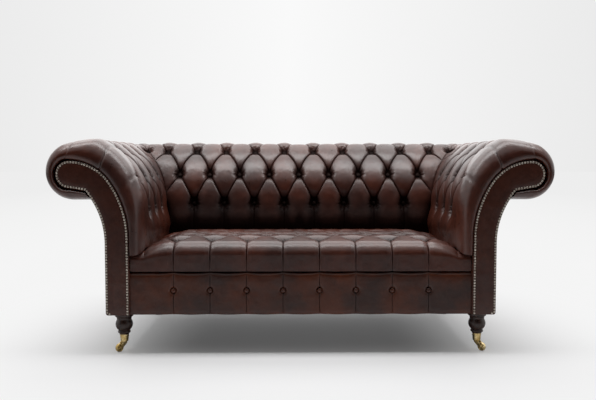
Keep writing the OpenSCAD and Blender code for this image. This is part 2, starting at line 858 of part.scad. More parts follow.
module rear_leg() {
  color(dark_wood) translate([leg_x, rear_leg_y, 0]) difference() {
    hull() {
      square_plate(rear_leg_top, 0, base_z - 1);
      square_plate(rear_leg_foot, rear_leg_rake, 0);
    }
    translate([0, 0, base_z]) bolt_bore();
  }
}

// ---- Castors ----

cheek_t = 2.5;
side_gap = 0.5;          // clearance between the wheel and a cheek
crown_t = 3.5;
crown_gap = 0.3;         // clearance between the fork and the cup
pin_h = 28;
axle_z = wheel_d / 2;
fork_w = wheel_w + 2 * (side_gap + cheek_t);
crown_z = cup_foot_z - crown_gap;

module castor_cup() {
  color(brass) translate([leg_x, front_leg_y, 0]) difference() {
    translate([0, 0, cup_foot_z]) cylinder(h = cup_top_z - cup_foot_z, d1 = cup_foot_d, d2 = cup_top_d);
    hollow_z = cup_foot_z + cup_floor;
    translate([0, 0, hollow_z])
      cylinder(h = cup_top_z - hollow_z, r1 = cup_r(hollow_z) - cup_wall, r2 = cup_r(cup_top_z) - cup_wall);
    cylinder(h = cup_top_z, r = pin_d / 2 + running_gap);
    at_cup_screws() screw_bore();
  }
}

module castor_screws() {
  color(brass) for (s = [-1, 1]) on_side(s) translate([leg_x, front_leg_y, 0]) at_cup_screws() {
    translate([0, 0, -8]) cylinder(h = 8.3, d = 3);
    translate([0, 0, 0.3]) cylinder(h = 1.4, d1 = 5.6, d2 = 3.2);
  }
}

// Castor frame: +X from the swivel pin to the wheel, axle along Y.
module at_castor() {
  translate([leg_x, front_leg_y, 0]) rotate([0, 0, castor_turn - 90]) children();
}

module castor_fork() {
  cheek = [[-6, crown_z], [10, crown_z], [castor_trail + 5, axle_z + 4], [castor_trail + 4, axle_z - 4],
           [castor_trail - 4, axle_z - 5], [-6, crown_z - crown_t - 3]];
  color(brass) at_castor() {
    translate([0, 0, crown_z - crown_t]) cylinder(h = crown_t, r = fork_w / 2);
    translate([0, 0, crown_z - crown_t]) cylinder(h = crown_t + pin_h, d = pin_d);
    translate([-6, -fork_w / 2, crown_z - crown_t]) cube([16, fork_w, crown_t]);
    for (y = [-fork_w / 2, fork_w / 2 - cheek_t]) translate([0, y + cheek_t, 0]) rotate([90, 0, 0])
      linear_extrude(cheek_t) difference() {
        union() {
          polygon(cheek);
          translate([castor_trail, axle_z]) circle(d = axle_d + 6);
        }
        translate([castor_trail, axle_z]) circle(r = axle_d / 2 + running_gap);
      }
  }
}

module castor_axle() {
  head_h = 1.6;
  color(brass) at_castor() translate([castor_trail, 0, axle_z]) rotate([90, 0, 0]) {
    cylinder(h = fork_w + 2 * running_gap, d = axle_d, center = true);
    for (s = [0, 1]) mirror([0, 0, s]) translate([0, 0, fork_w / 2 + running_gap])
      cylinder(h = head_h, d1 = axle_d + 3, d2 = axle_d);
  }
}

module castor_wheel() {
  bore_r = axle_d / 2 + running_gap;
  hub_r = axle_d / 2 + 3.5;
  rim_r = wheel_d / 2 - 3;
  dish = 1.6;
  hw = wheel_w / 2;
  // From the bore out to the tread on one side.
  half = [
    [bore_r, hw], [hub_r, hw], [hub_r + 1, hw - dish], [rim_r - 1.5, hw - dish],
    [rim_r, hw - 0.3], [wheel_d / 2 - 0.8, hw - 1.2], [wheel_d / 2, hw - 3.5]
  ];
  color(brass) at_castor() translate([castor_trail, 0, axle_z]) rotate([90, 0, 0]) rotate_extrude()
    polygon(concat([for (p = half) [p[0], -p[1]]], reversed(half)));
}

// ---- Output ----

on_side(-1) arm_pad();  // left_arm_pad
on_side(1) arm_pad();  // right_arm_pad
back_pad();
seat_pad();
front_border();
on_side(-1) arm_facing();  // left_arm_facing
on_side(1) arm_facing();  // right_arm_facing
on_side(-1) facing_nails();  // left_facing_nails
on_side(1) facing_nails();  // right_facing_nails
on_side(-1) outside_arm();  // left_outside_arm
on_side(1) outside_arm();  // right_outside_arm
outside_back();
dust_cover();
on_side(-1) arm_buttons();  // left_arm_buttons
on_side(1) arm_buttons();  // right_arm_buttons
back_buttons();
seat_buttons();
border_buttons();
on_side(-1) arm_front_post();  // left_arm_front_post
on_side(1) arm_front_post();  // right_arm_front_post
on_side(-1) arm_rear_post();  // left_arm_rear_post
on_side(1) arm_rear_post();  // right_arm_rear_post
on_side(-1) arm_roll_rail();  // left_arm_roll_rail
on_side(1) arm_roll_rail();  // right_arm_roll_rail
on_side(-1) arm_tack_rail();  // left_arm_tack_rail
on_side(1) arm_tack_rail();  // right_arm_tack_rail
on_side(-1) arm_webbing();  // left_arm_webbing
on_side(1) arm_webbing();  // right_arm_webbing
back_uprights();
back_roll_rail();
back_tack_rail();
back_webbing();
front_rail();
rear_seat_rail();
back_base_rail();
on_side(-1) side_rail();  // left_side_rail
on_side(1) side_rail();  // right_side_rail
seat_stretchers();
corner_blocks();
seat_springs();
spring_clips();
seat_lining();
on_side(-1) front_leg();  // front_left_leg
on_side(1) front_leg();  // front_right_leg
on_side(-1) rear_leg();  // rear_left_leg
on_side(1) rear_leg();  // rear_right_leg
leg_bolts();
on_side(-1) castor_cup();  // left_castor_cup
on_side(1) castor_cup();  // right_castor_cup
on_side(-1) castor_fork();  // left_castor_fork
on_side(1) castor_fork();  // right_castor_fork
on_side(-1) castor_axle();  // left_castor_axle
on_side(1) castor_axle();  // right_castor_axle
on_side(-1) castor_wheel();  // left_castor_wheel
on_side(1) castor_wheel();  // right_castor_wheel
castor_screws();
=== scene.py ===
# %% [markdown]
# # A chesterfield sofa, dressed over its working model
#
# The sofa's timber frame, springs, legs and castors come from a packed construction model, which
# stays where it is. What a buyer sees first, the buttoned leather, is made here: every leather piece
# is a surface worked out with numpy, in millimetres, and put where the frame's own boxes say.

# %% Load the frame
import json
import math
import bmesh
import bpy
import numpy as np
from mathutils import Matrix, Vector


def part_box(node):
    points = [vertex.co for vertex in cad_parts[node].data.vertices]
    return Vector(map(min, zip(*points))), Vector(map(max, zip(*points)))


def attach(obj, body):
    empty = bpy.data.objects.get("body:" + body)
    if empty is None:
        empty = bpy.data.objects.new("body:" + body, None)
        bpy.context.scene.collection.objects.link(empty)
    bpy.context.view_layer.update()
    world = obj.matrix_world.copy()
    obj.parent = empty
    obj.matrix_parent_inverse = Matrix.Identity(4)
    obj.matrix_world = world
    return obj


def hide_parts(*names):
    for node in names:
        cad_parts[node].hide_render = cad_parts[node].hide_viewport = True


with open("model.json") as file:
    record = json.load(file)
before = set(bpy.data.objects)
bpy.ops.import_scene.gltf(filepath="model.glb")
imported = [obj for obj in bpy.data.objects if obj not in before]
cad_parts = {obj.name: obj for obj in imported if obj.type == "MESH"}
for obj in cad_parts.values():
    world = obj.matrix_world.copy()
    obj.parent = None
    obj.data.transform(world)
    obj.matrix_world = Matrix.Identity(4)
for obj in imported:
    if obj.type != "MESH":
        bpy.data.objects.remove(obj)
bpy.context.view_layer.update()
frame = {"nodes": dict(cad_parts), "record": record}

MM = 0.001
BODY = "sofa"


def corners(*nodes):
    """Lowest and highest corner of some nodes together, in millimetres."""
    boxes = np.array([[list(corner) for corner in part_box(node)] for node in nodes]) / MM
    return boxes[:, 0].min(axis=0), boxes[:, 1].max(axis=0)


pads_low, pads_high = corners("left_arm_pad", "right_arm_pad", "back_pad")
print("arm and back pads:", pads_low.round(1), pads_high.round(1))

# %% [markdown]
# ## The section that gives a chesterfield its shape
#
# On the real sofa one section runs round both arms and the back at the same height: an upright inner
# face, a shoulder, a nearly flat crest and a roll that curls back under itself. It could be drawn as
# a spline, but arcs that touch each other keep the leather free of bumps and let a button be placed
# by its distance over the leather, s, measured upwards from the lowest row. A point of the section is
# (u, z), where u is the distance outwards from the inner face of an arm or of the back.

# %% Section values
ROLL_REACH = 357        # from the inner face to the outside of the roll
ROLL_R = 105
ROLL_DROP = 117         # from the crest to the middle of the roll
CREST_U = 172
SHOULDER_R = 45
FACE_R = 303
LOW_ROW_DROP = 274      # from the crest to the lowest row of buttons
ARM_WALL = (139, 386)   # thickness at the base, drop from the crest to the start of the flare
BACK_WALL = (190, 334)
FLARE_R = 308
PITCH = 137.5           # between buttons along a row
ROW = 145               # between rows over the leather
CORNER_SHARE = 0.4      # rounding of the rear corners, as a share of u

front_y, back_y = pads_low[1], pads_high[1]
crest_z, foot_z = pads_high[2], pads_low[2]
inner_x = pads_high[0] - ROLL_REACH
inner_y = back_y - ROLL_REACH
low_row_z = crest_z - LOW_ROW_DROP


def touching(outer_c, outer_r, inner_r, u):
    """Centre of a circle of radius outer_r that holds one of inner_r round outer_c, with its middle at u."""
    return np.array([u, outer_c[1] - math.sqrt((outer_r - inner_r) ** 2 - (u - outer_c[0]) ** 2)])


roll_c = np.array([ROLL_REACH - ROLL_R, crest_z - ROLL_DROP])
crest_r = ((roll_c[0] - CREST_U) ** 2 + ROLL_DROP ** 2 - ROLL_R ** 2) / (2 * (ROLL_DROP - ROLL_R))
crest_c = np.array([CREST_U, crest_z - crest_r])
shoulder_c = np.array([CREST_U, crest_z - SHOULDER_R])
face_c = touching(shoulder_c, FACE_R, SHOULDER_R, FACE_R)


def direction(a, b):
    return math.atan2(b[1] - a[1], b[0] - a[0])


# Each arc: middle, radius, direction at its start, direction at its end.
section_arcs = [
    (face_c, FACE_R, math.pi, direction(face_c, shoulder_c)),
    (shoulder_c, SHOULDER_R, direction(face_c, shoulder_c), math.pi / 2),
    (crest_c, crest_r, math.pi / 2, direction(crest_c, roll_c)),
    (roll_c, ROLL_R, direction(crest_c, roll_c), -math.pi / 2),
]
arc_starts = [face_c[1] - low_row_z]
for middle, radius, a, b in section_arcs:
    arc_starts.append(arc_starts[-1] + radius * (a - b))
roll_end = arc_starts.pop()
roll_foot_z = roll_c[1] - ROLL_R
foot_s = foot_z - low_row_z


def section(s):
    """u, z and the outward direction at distance s: a straight face, four arcs, a flat underside."""
    s = np.asarray(s, float)
    u, z, nu, nz = np.zeros_like(s), low_row_z + s, -np.ones_like(s), np.zeros_like(s)
    for (middle, radius, a, b), start in zip(section_arcs, arc_starts):
        on = s > start
        angle = a - (s - start) / radius
        nu, nz = np.where(on, np.cos(angle), nu), np.where(on, np.sin(angle), nz)
        u, z = np.where(on, middle[0] + radius * nu, u), np.where(on, middle[1] + radius * nz, z)
    under = s > roll_end
    u, z = np.where(under, roll_c[0] - (s - roll_end), u), np.where(under, roll_foot_z, z)
    return u, z, np.where(under, 0, nu), np.where(under, -1, nz)


def wall_u(wall, z, inset=0.0):
    """Distance of the outside wall from the inner face: upright, then an arc that flares under the roll."""
    base, drop = wall
    rise = np.maximum(0, z - (crest_z - drop))
    return np.where(rise > 0, base + FLARE_R - np.sqrt((FLARE_R + inset) ** 2 - rise ** 2), base - inset)


print("section: roll ends at s =", round(roll_end, 1), "crest arc radius", round(crest_r, 1))

# %% [markdown]
# ## Deep buttoning as a height map
#
# Buttons pull the leather 30 mm into the horsehair, and between them it folds along lines that leave
# each button as an arch and drop almost straight into the next one down. Each diamond then swells
# out, fullest a little above its middle, and fades into a dark hollow over its bottom button. In the
# lower rows the hollow is drawn out upwards between the folds. It could be sculpted, or cut out of a
# solid, but here the leather is a grid whose diagonals run along the folds, so every fold is a clean
# line of edges. The grid has straight columns i and rows j; the arches come from moving its points
# sideways.

# %% Lattice helpers
STEPS = 20                      # grid steps in half a pitch, and in a row
ARCH = (1.12, 1.6, 0.75)        # how round the folds are between rows 0-1, 1-2 and 2-3; 1 is straight
TOP = 3                         # number of the highest row of buttons; the lowest is 0
SPARE = 0.3                     # least distance from an edge to the next row or column, in grid steps
step_t = PITCH / 2 / STEPS
step_s = ROW / STEPS


def unit(x):
    """x held between 0 and 1."""
    return np.clip(x, 0, 1)


def eased(x, start, end):
    """0 at start, 1 at end and level at both: 3 h ** 2 - 2 h ** 3."""
    h = unit((x - start) / (end - start))
    return h ** 2 * (3 - 2 * h)


def rounding(x):
    """How far a rounded edge drops, as a share of its radius: nothing up to x = 0, all of it at x = 1."""
    return 1 - np.sqrt(1 - unit(x) ** 2)


def on_lattice(i, j):
    """Whether points of the grid lie on the slanting folds, which run through every other corner."""
    return ((i - STEPS + j) % (2 * STEPS) == 0) | ((i - STEPS - j) % (2 * STEPS) == 0)


def leaning(i, j):
    """Whether the diagonal of each cell runs from i + 1, j to i, j + 1, as the fold through it does."""
    return (i[:-1] - STEPS + j[:, :-1] + 1) % (2 * STEPS) == 0


def arched(t, rows):
    """Moves grid points sideways, so that straight folds become arches: x = pitch / 2 * (1 - h ** arch).

    x is the distance from the upper button's column and h the height between two rows. Points on
    either side of a fold are spread evenly between it and the nearest column of buttons."""
    t, rows = np.broadcast_arrays(t, rows)
    out = t.astype(float).copy()
    for k, arch in enumerate(ARCH):
        on = (rows >= k) & (rows <= k + 1)
        h = unit(rows - k)
        column = t / PITCH - (0.5 if k % 2 else 0.0)
        x = column - np.round(column)
        side, x = np.sign(x), np.abs(x)
        fold = 0.5 * (1 - h ** arch)
        inside = x * fold / np.maximum(0.5 * (1 - h), 1e-9)
        outside = 0.5 - (0.5 - x) * (0.5 - fold) / np.maximum(0.5 * h, 1e-9)
        moved = np.where(x <= 0.5 * (1 - h) + 1e-9, inside, outside)
        out = np.where(on, t + (side * (moved - x)) * PITCH, out)
    return out


def settle(fixed, held, push=0.0, lift=0.0, rounds=500, dt=step_t, ds=step_s):
    """Relaxes a field over the grid: each free point becomes the mean of its neighbours, plus a push.

    Without a push the field runs evenly from fold to fold. With one it swells between them, as a skin
    over stuffing does, and lift moves the fullest point of the swell upwards."""
    f = np.where(held, fixed, fixed[held].mean())
    wt, ws = 1 / dt ** 2, 1 / ds ** 2
    for _ in range(rounds):
        g = np.pad(f, 1, mode="edge")
        f = (wt * (g[:-2, 1:-1] + g[2:, 1:-1]) + ws * (1 - lift) * g[1:-1, :-2]
             + ws * (1 + lift) * g[1:-1, 2:] + push) / (2 * wt + 2 * ws)
        f = np.where(held, fixed, f)
    return f


def swelling(held, rows, lift=0.0, ds=step_s):
    """How full the padding is, from 0 in the folds to about 1 in the middle of a diamond of those rows."""
    full = settle(np.zeros(held.shape), held, push=1e-3, lift=lift, rounds=600, ds=ds)
    return np.clip(full / np.quantile(full[:, rows], 0.96), 0, FULLEST)

# %% [markdown]
# ## From grids to meshes
#
# Every piece below ends as an array of points and a few arrays of faces. One helper turns them into a
# mesh, hands it to the body it rides on and hides the construction node it stands for. Points that
# no face uses are left out, and points that fall together, as where a grid is cut along a mitre, are
# merged, so that each piece is one closed skin. Only the pieces made of many small copies, each of
# them closed already, are left as they are.

# %% Mesh helper
SOFT = 0.8      # how full the sofa's pads are stuffed
SHARP = 70      # degrees; edges that turn further than this are drawn sharp
TOGETHER = 0.01     # points nearer than this are one


def hand(side):
    return "left" if side < 0 else "right"


def weld(piece):
    """Merges points that fall together and turns every face outwards."""
    work = bmesh.new()
    work.from_mesh(piece.data)
    bmesh.ops.remove_doubles(work, verts=work.verts, dist=TOGETHER * MM)
    bmesh.ops.dissolve_degenerate(work, edges=work.edges, dist=TOGETHER * MM)
    bmesh.ops.recalc_face_normals(work, faces=work.faces)
    work.to_mesh(piece.data)
    piece.data.set_sharp_from_angle(angle=math.radians(SHARP))
    open_edges = sum(1 for edge in work.edges if len(edge.link_faces) != 2)
    work.free()
    print(f"  {piece.name}: {open_edges} open edges after welding")
    return piece


def make_piece(name, points, faces, material, replaced, flat=(), fill=None, slot="leather", welded=True,
               **marks):
    """faces is a list of arrays, one row of point numbers per face. Points and marks may be whole grids.

    The arrays whose numbers are in flat are shaded flat. replaced is the construction node that the piece
    stands for. fill is not used."""
    blocks = [np.atleast_2d(np.asarray(block, int)) for block in faces]
    used, loops = np.unique(np.concatenate([block.ravel() for block in blocks]), return_inverse=True)
    totals = np.concatenate([np.full(len(block), block.shape[1]) for block in blocks])
    mesh = bpy.data.meshes.new(name)
    mesh.vertices.add(len(used))
    mesh.vertices.foreach_set("co", (np.asarray(points, float).reshape(-1, 3)[used] * MM).ravel())
    mesh.loops.add(len(loops))
    mesh.loops.foreach_set("vertex_index", loops.ravel())
    mesh.polygons.add(len(totals))
    mesh.polygons.foreach_set("loop_start", np.concatenate([[0], np.cumsum(totals)[:-1]]))
    mesh.polygons.foreach_set("loop_total", totals)
    smooth = np.concatenate([np.full(len(block), k not in flat) for k, block in enumerate(blocks)])
    mesh.polygons.foreach_set("use_smooth", smooth)
    mesh.update(calc_edges=True)
    mesh.validate()
    for mark, values in marks.items():
        kept = np.asarray(values, float).ravel()[used]
        mesh.attributes.new(mark, "FLOAT", "POINT").data.foreach_set("value", kept)
    mesh.materials.append(material)
    piece = bpy.data.objects.new(name, mesh)
    bpy.context.scene.collection.objects.link(piece)
    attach(piece, BODY)
    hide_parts(replaced)
    print(f"{name}: {len(used)} points, {len(totals)} faces")
    return weld(piece) if welded else piece


def xyz(x, y, z):
    """Points from their coordinates, each an array or one value for all."""
    return np.stack(np.broadcast_arrays(x, y, z), -1)


def numbered(grid):
    """The number of each point of a grid of points."""
    return np.arange(grid[..., 0].size).reshape(grid.shape[:2])


def round_about(numbers):
    """The same grid closed to a ring: its first numbers come once more at the end."""
    return np.concatenate([numbers, numbers[:, :1]], axis=1)


def outline(numbers):
    """The numbers along the edge of a grid, once round."""
    return np.concatenate([numbers[:, 0], numbers[-1, 1:], numbers[-2::-1, -1], numbers[0, -2:0:-1]])


def framed(values, grid, own):
    """Values of the points of a grid: these in the part called own, none outside it."""
    whole = np.zeros(grid.shape[:2])
    whole[own] = values
    return whole


def grid_faces(numbers, lean=None):
    """Two triangles for each cell of a grid of point numbers; lean says which way its diagonal runs."""
    a, b, c, d = numbers[:-1, :-1], numbers[1:, :-1], numbers[1:, 1:], numbers[:-1, 1:]
    lean = np.zeros(a.shape, bool) if lean is None else lean
    first = np.where(lean[..., None], np.stack([a, b, d], -1), np.stack([a, b, c], -1)).reshape(-1, 3)
    second = np.where(lean[..., None], np.stack([b, c, d], -1), np.stack([a, c, d], -1)).reshape(-1, 3)
    faces = np.concatenate([first, second])
    whole = (faces[:, 0] != faces[:, 1]) & (faces[:, 1] != faces[:, 2]) & (faces[:, 0] != faces[:, 2])
    return faces[whole]


def tube(grid):
    """Faces between the closed rings of a grid, and one over each end."""
    numbers = numbered(grid)
    return [grid_faces(round_about(numbers)), numbers[:1], numbers[-1:]]


# %% [markdown]
# ## Where the leather lies in plan
#
# An arm and the back meet at a rear corner in a mitre. In plan, every level of the section runs
# straight, turns through half of a rounded corner and stops at the mitre. t is the distance along
# the back from its middle. Seen from the corner an arm is the back's mirror image, so one function
# serves both and an arm only swaps across for along.

# %% Plan helpers
TURN = math.pi / 4


def reach(u):
    """How far t runs at level u: inner_x + (1 - share) u, then an eighth of a turn of radius share * u."""
    return inner_x + np.where(u > 0, u * (1 - CORNER_SHARE + CORNER_SHARE * TURN), u)


def plan(t, u):
    """x and y of a point of the back's right half, at distance t along it and u behind its inner face."""
    radius = np.maximum(CORNER_SHARE * u, 1e-6)
    turn = np.clip((t - (inner_x + u - radius)) / radius, 0, TURN)
    run = np.minimum(t, inner_x + u - np.where(u > 0, radius, 0))
    x = np.where(turn > 0, inner_x + u - radius + radius * np.sin(turn), run)
    return x, inner_y + u - radius + np.where(turn > 0, radius * np.cos(turn), radius)


def across(x, y):
    """Swaps the two sides of the right-hand mitre, which turns the back's right half into the arm."""
    return inner_x + (y - inner_y), inner_y + (x - inner_x)


# %% [markdown]
# ## The inner side of the padding
#
# Each pad is a closed body, so it also needs the side that lies on the timber. In the arm's front
# that same line is the edge of the nailed facing. It is made of arcs too, and a point of the leather
# is paired with the point of this line that faces the same way, so pleats run straight to the nails.

# %% Facing line
PAD_T = 50
FACING_R = 380
FACING_CURVE_DROP = 369
FACING_END_R = 52
FACING_END_U = 265
FACING_END_DROP = 129
UNDER_DROP = 10         # the facing's underside falls this much towards the outside wall

end_c = np.array([FACING_END_U, crest_z - FACING_END_DROP])
edge_c = np.array([PAD_T + FACING_R, crest_z - FACING_CURVE_DROP])
edge_dx, edge_dz = edge_c[0] - end_c[0], end_c[1] + FACING_END_R - edge_c[1]
top_r = (FACING_R ** 2 - edge_dx ** 2 - edge_dz ** 2) / (2 * (FACING_R - edge_dz))
top_c = np.array([end_c[0], end_c[1] + FACING_END_R - top_r])
top_start = direction(edge_c, top_c)
facing_arcs = [
    (edge_c, FACING_R, math.pi, top_start),
    (top_c, top_r, top_start, math.pi / 2),
    (end_c, FACING_END_R, math.pi / 2, -math.pi / 2),
]


def facing_line(s, wall):
    """u and z of the facing's edge that faces the same way as the leather at s."""
    _, z, nu, nz = section(s)
    angle = np.arctan2(nz, nu)
    straight = s < arc_starts[0]
    line_z = foot_z + (z - foot_z) * (edge_c[1] - foot_z) / (face_c[1] - foot_z)
    which = np.where(angle >= top_start, 0, np.where(angle >= math.pi / 2, 1, 2))
    lu = np.choose(which, [middle[0] + radius * np.cos(angle) for middle, radius, *_ in facing_arcs])
    lz = np.choose(which, [middle[1] + radius * np.sin(angle) for middle, radius, *_ in facing_arcs])
    lu, lz = np.where(straight, PAD_T, lu), np.where(straight, line_z, lz)
    under = s > roll_end
    low_z = end_c[1] - FACING_END_R
    share = (s - roll_end) / (s.max() - roll_end)
    lu = np.where(under, end_c[0] + share * (wall_u(wall, low_z - UNDER_DROP) - end_c[0]), lu)
    return lu, np.where(under, low_z - share * UNDER_DROP, lz)


# %% Grid shared by the arms and the back
FOLD = 13           # depth of a fold half way between two buttons
LOW_FOLD = 8        # of the upright folds below the lowest row
LOW_SHARE = 0.35    # of that depth at the foot
ROLL_FOLD = 10      # of the folds round the roll
ROLL_FADE = 0.7     # below 1 they stay deep for longer
MITRE_FOLD = 16
MITRE_ENDS = ((200, 0.3), (110, 0.15))  # distance and share to which it fades under the roll, at the foot
BUTTON_DEPTH = 30
BUTTON_R = 9.5
PIT_EDGE = BUTTON_R + 1
UNDER_RIM = 0.7     # the leather lies this far under a button's rim
FUNNEL = 18         # how far round a button the folds deepen
PIT_R = 12          # and how far out the padding starts to swell again
HOLLOW = 0.62       # below 1 the hollow over a button of the lower rows is longer than wide
LOWER_ROWS = 1.5    # the rows below this are the lower ones
GATHER_IN = (9, 21)     # the small gathers round a button start between these distances
GATHER_OUT = (38, 18)   # and have gone at the first of these
ROUND = 0.55        # below 1 the leather rises more steeply out of a fold
FULLEST = 1.12      # where the folds lie far apart
LIFTED = 0.1        # a diamond is fullest this much above its middle
SLIT = 3            # the pinch at the bottom of a fold
SLIT_CLEAR = 16     # which starts this far from a button
BELLY = 11          # how far the padding bellies out over the seat
BELLY_S = (-4, -154)            # between these distances
BELLY_IN = 60       # and how fast it comes in along an arm
CREST_LIFT = 11     # how far the padding stands up along the crest
CREST_ROWS = (2.45, 0.42)       # middle and width of the crest, in rows
CREST_WAVE = 2.5    # the crest dips this much, twice over, between the buttons of the front row
COMING_IN = 0.6     # share of belly and crest that is there already at an arm's first column
FAR = 1000          # stands for nothing near


def rows_between(start, end, step):
    """Distances of a grid's rows from start to end, and the row numbers that the folds are counted in."""
    j = np.arange(math.ceil(start / step + SPARE), math.floor(end / step - SPARE) + 1)
    return np.concatenate([[start], j * step, [end]]), np.concatenate([[j[0] - 1], j, [j[-1] + 1]])


def wall_rows(wall):
    """Both for a padded wall, as rows of two grids, from its foot to the outside wall under the roll."""
    end = roll_end + roll_c[0] - (wall_u(wall, roll_foot_z) + 0.5)
    return (row[None, :] for row in rows_between(foot_s, end, step_s))


def columns_of(row):
    """t of every button in a row, to both sides: odd rows have one in the middle, even rows don't."""
    return (np.arange(-12, 12) + (0.0 if row % 2 else 0.5)) * PITCH


def button_columns(row, first):
    """t of the buttons in a row, from first to half a pitch short of the mitre."""
    t = columns_of(row)
    last = inner_x + section(row * ROW)[0] - PITCH / 2
    return t[(t <= last) & (t >= max(first, 0))]


def corner_button():
    s = 2 * ROW
    return float(reach(section(s)[0])), s


def from_nearest(t, s, spots):
    """How far each point lies from the nearest of some buttons, along both directions over the leather."""
    along, up = (np.full(np.broadcast(t, s).shape, FAR) for _ in range(2))
    for button_t, button_s in spots:
        dt, ds = t - button_t, s - button_s
        near = np.hypot(dt, ds) < np.hypot(along, up)
        along, up = np.where(near, dt, along), np.where(near, ds, up)
    return along, up


def by_button(r, width, power=2):
    """1 at a button and next to nothing at twice the width from its rim."""
    return np.exp(-(np.maximum(r - BUTTON_R, 0) / width) ** power)


def drawn_out(along, up, button_s):
    """Distance from a button, shortened above the lower rows, where the hollow runs up between the folds."""
    return np.hypot(along, np.where((up > 0) & (button_s < LOWER_ROWS * ROW), HOLLOW * up, up))


def stuffed(line, fold, held, r, rows, pit_r, slit_clear, rounds, lift=0.0, ds=step_s):
    """Depth of leather that is held as deep as line says and swells elsewhere, and its slits in the folds."""
    depth = settle(line, held, rounds=rounds, ds=ds)
    swell = swelling(held, rows, lift=lift, ds=ds) * (1 - by_button(r, pit_r))
    slit = fold * (1 - by_button(r, slit_clear))
    return depth * (1 - swell ** ROUND) + SLIT * slit, slit


def button_marks(along, up, crease):
    """What the finish needs to know of each point: its place by the nearest button, gathers and creases."""
    r = np.hypot(along, up)
    gather = eased(r, *GATHER_IN) * eased(r, *GATHER_OUT)
    return {"crease": crease, "along": along, "up": up, "gather": gather}


def belly(t, s, from_t):
    """How far the whole surface stands proud: a belly over the seat and a crest with a wave in it."""
    start, end = BELLY_S
    over_seat = BELLY * np.sin(math.pi * unit((s - start) / (end - start))) ** 2
    middle, width = CREST_ROWS
    crest = np.exp(-((s / ROW - middle) / width) ** 2)
    wave = CREST_WAVE * (1 - np.cos(2 * math.pi * (t / PITCH - 0.5)))
    into, in_crest = (unit((np.abs(t) - from_t) / run + COMING_IN) for run in (BELLY_IN, PITCH))
    return over_seat * into + in_crest * crest * (CREST_LIFT - wave)


def buttoned_depth(i, t, s, j, first_column, reaches):
    """Depth of the buttoned leather below its crown over the grid, and the marks that its finish needs."""
    top_j = TOP * STEPS
    upright = ((i - STEPS) % (2 * STEPS) == 0) & (j < 0)
    round_roll = (i % (2 * STEPS) == 0) & (j > top_j)
    fold = np.where((j >= 0) & (j <= top_j), on_lattice(i, j), upright | round_roll)
    beyond = np.abs(t) >= reaches
    fold = fold & (np.abs(i) >= first_column) & ~beyond
    first = first_column * step_t - 1
    spots = [(c, k * ROW) for k in range(TOP + 1) for c in button_columns(k, first)] + [corner_button()]
    along, up = from_nearest(np.abs(t), s, spots)
    pit = np.hypot(along, up) < PIT_EDGE
    r = drawn_out(along, up, s - up)
    end = s.max()
    low = LOW_FOLD * (LOW_SHARE + (1 - LOW_SHARE) * (s - foot_s) / -foot_s)
    roll = ROLL_FOLD * unit((end - s) / (end - TOP * ROW)) ** ROLL_FADE
    line = np.where(s < 0, low, np.where(s > TOP * ROW, roll, FOLD))
    line = line + (BUTTON_DEPTH + UNDER_RIM - line) * by_button(r, FUNNEL)
    (roll_run, roll_share), (foot_run, foot_share) = MITRE_ENDS
    mitre = MITRE_FOLD * np.clip((end - s) / roll_run, roll_share, 1)
    mitre = mitre * np.clip(1 + s / foot_run, foot_share, 1)
    line = np.where(beyond & ~pit, mitre, line)
    rows = ((j > 0) & (j < top_j))[0]
    depth, slit = stuffed(line, fold, fold | pit | beyond, r, rows, PIT_R, SLIT_CLEAR, 300, lift=LIFTED)
    # The whole mitre is marked as a crease, which the finish paints near-black: painted shade in the corner's
    # fold.
    marks = button_marks(along, up, np.where(beyond & ~pit, 1.0, slit))
    marks["gather"] = marks["gather"] * ~beyond
    return depth - belly(t, s, first), marks


# %% The skin of a padded wall
MITRE_EASE = 80         # width over which the leather follows the fold along the mitre
PLEATS = {1: (1.0, 80), 2: (1.0, 400), 3: (0.3, 400)}   # share of depth and length, in front of a row
PLEAT_DEPTH = 6
PLEAT_W = 3.5
PLEAT_LINE = 3          # width of its dark line, painted shade in the pleat
PLEAT_START = (25, 12)  # it deepens over the first of these from the button, and fades after the second
FIRST_COLUMN = 2 * STEPS            # the front-most buttons of an arm
WRAP_R = 70             # rounding of the border's outer edge
WRAP_STEPS = 24
WRAP_CREST = 0.76       # share of the border's width that rounds backwards
BORDER_SWELL = 8        # the stuffed border stands out past the roll behind it
SWELL_RUN = 90          # and joins it over this distance
RECESS = 8              # the facing lies this far behind the border
TUCK = 4                # and the border runs this far past its face
FOOT_LIFT = 22          # the foot of an arm's inner corner is rounded up this much
FOOT_ROUND = 36
FOOT_FADE = 70          # and the rounding is gone this far up
FOOT_PAINTED_SHADE = 34               # painted shade: the foot of the back is darkened as if it lay this deep
FOOT_PAINTED_SHADE_S = (40, -70)      # s at which the painted shade starts and is full


def foot_lift(u):
    return FOOT_LIFT * rounding(1 - u / FOOT_ROUND)


def inner_columns(ends, s, wall):
    """Columns of the side that lies on the timber, at the mitre and where the rounded corner starts."""
    lu, lz = facing_line(s, wall)
    columns = []
    for end in ends:
        x, y = plan(reach(lu) if end == "mitre" else inner_x + lu * (1 - CORNER_SHARE), lu)
        columns.append(xyz(x, y, lz))
    return columns


def carried(t, reaches, u, z, nu, nz, depth):
    """Level, height and place along the wall of a point that is depth below the crown."""
    ud, zd = u - nu * depth, z - nz * depth
    near = unit(1 - (reaches - t) / MITRE_EASE) ** 2
    return ud, zd, t + near * (reach(ud) - reaches)


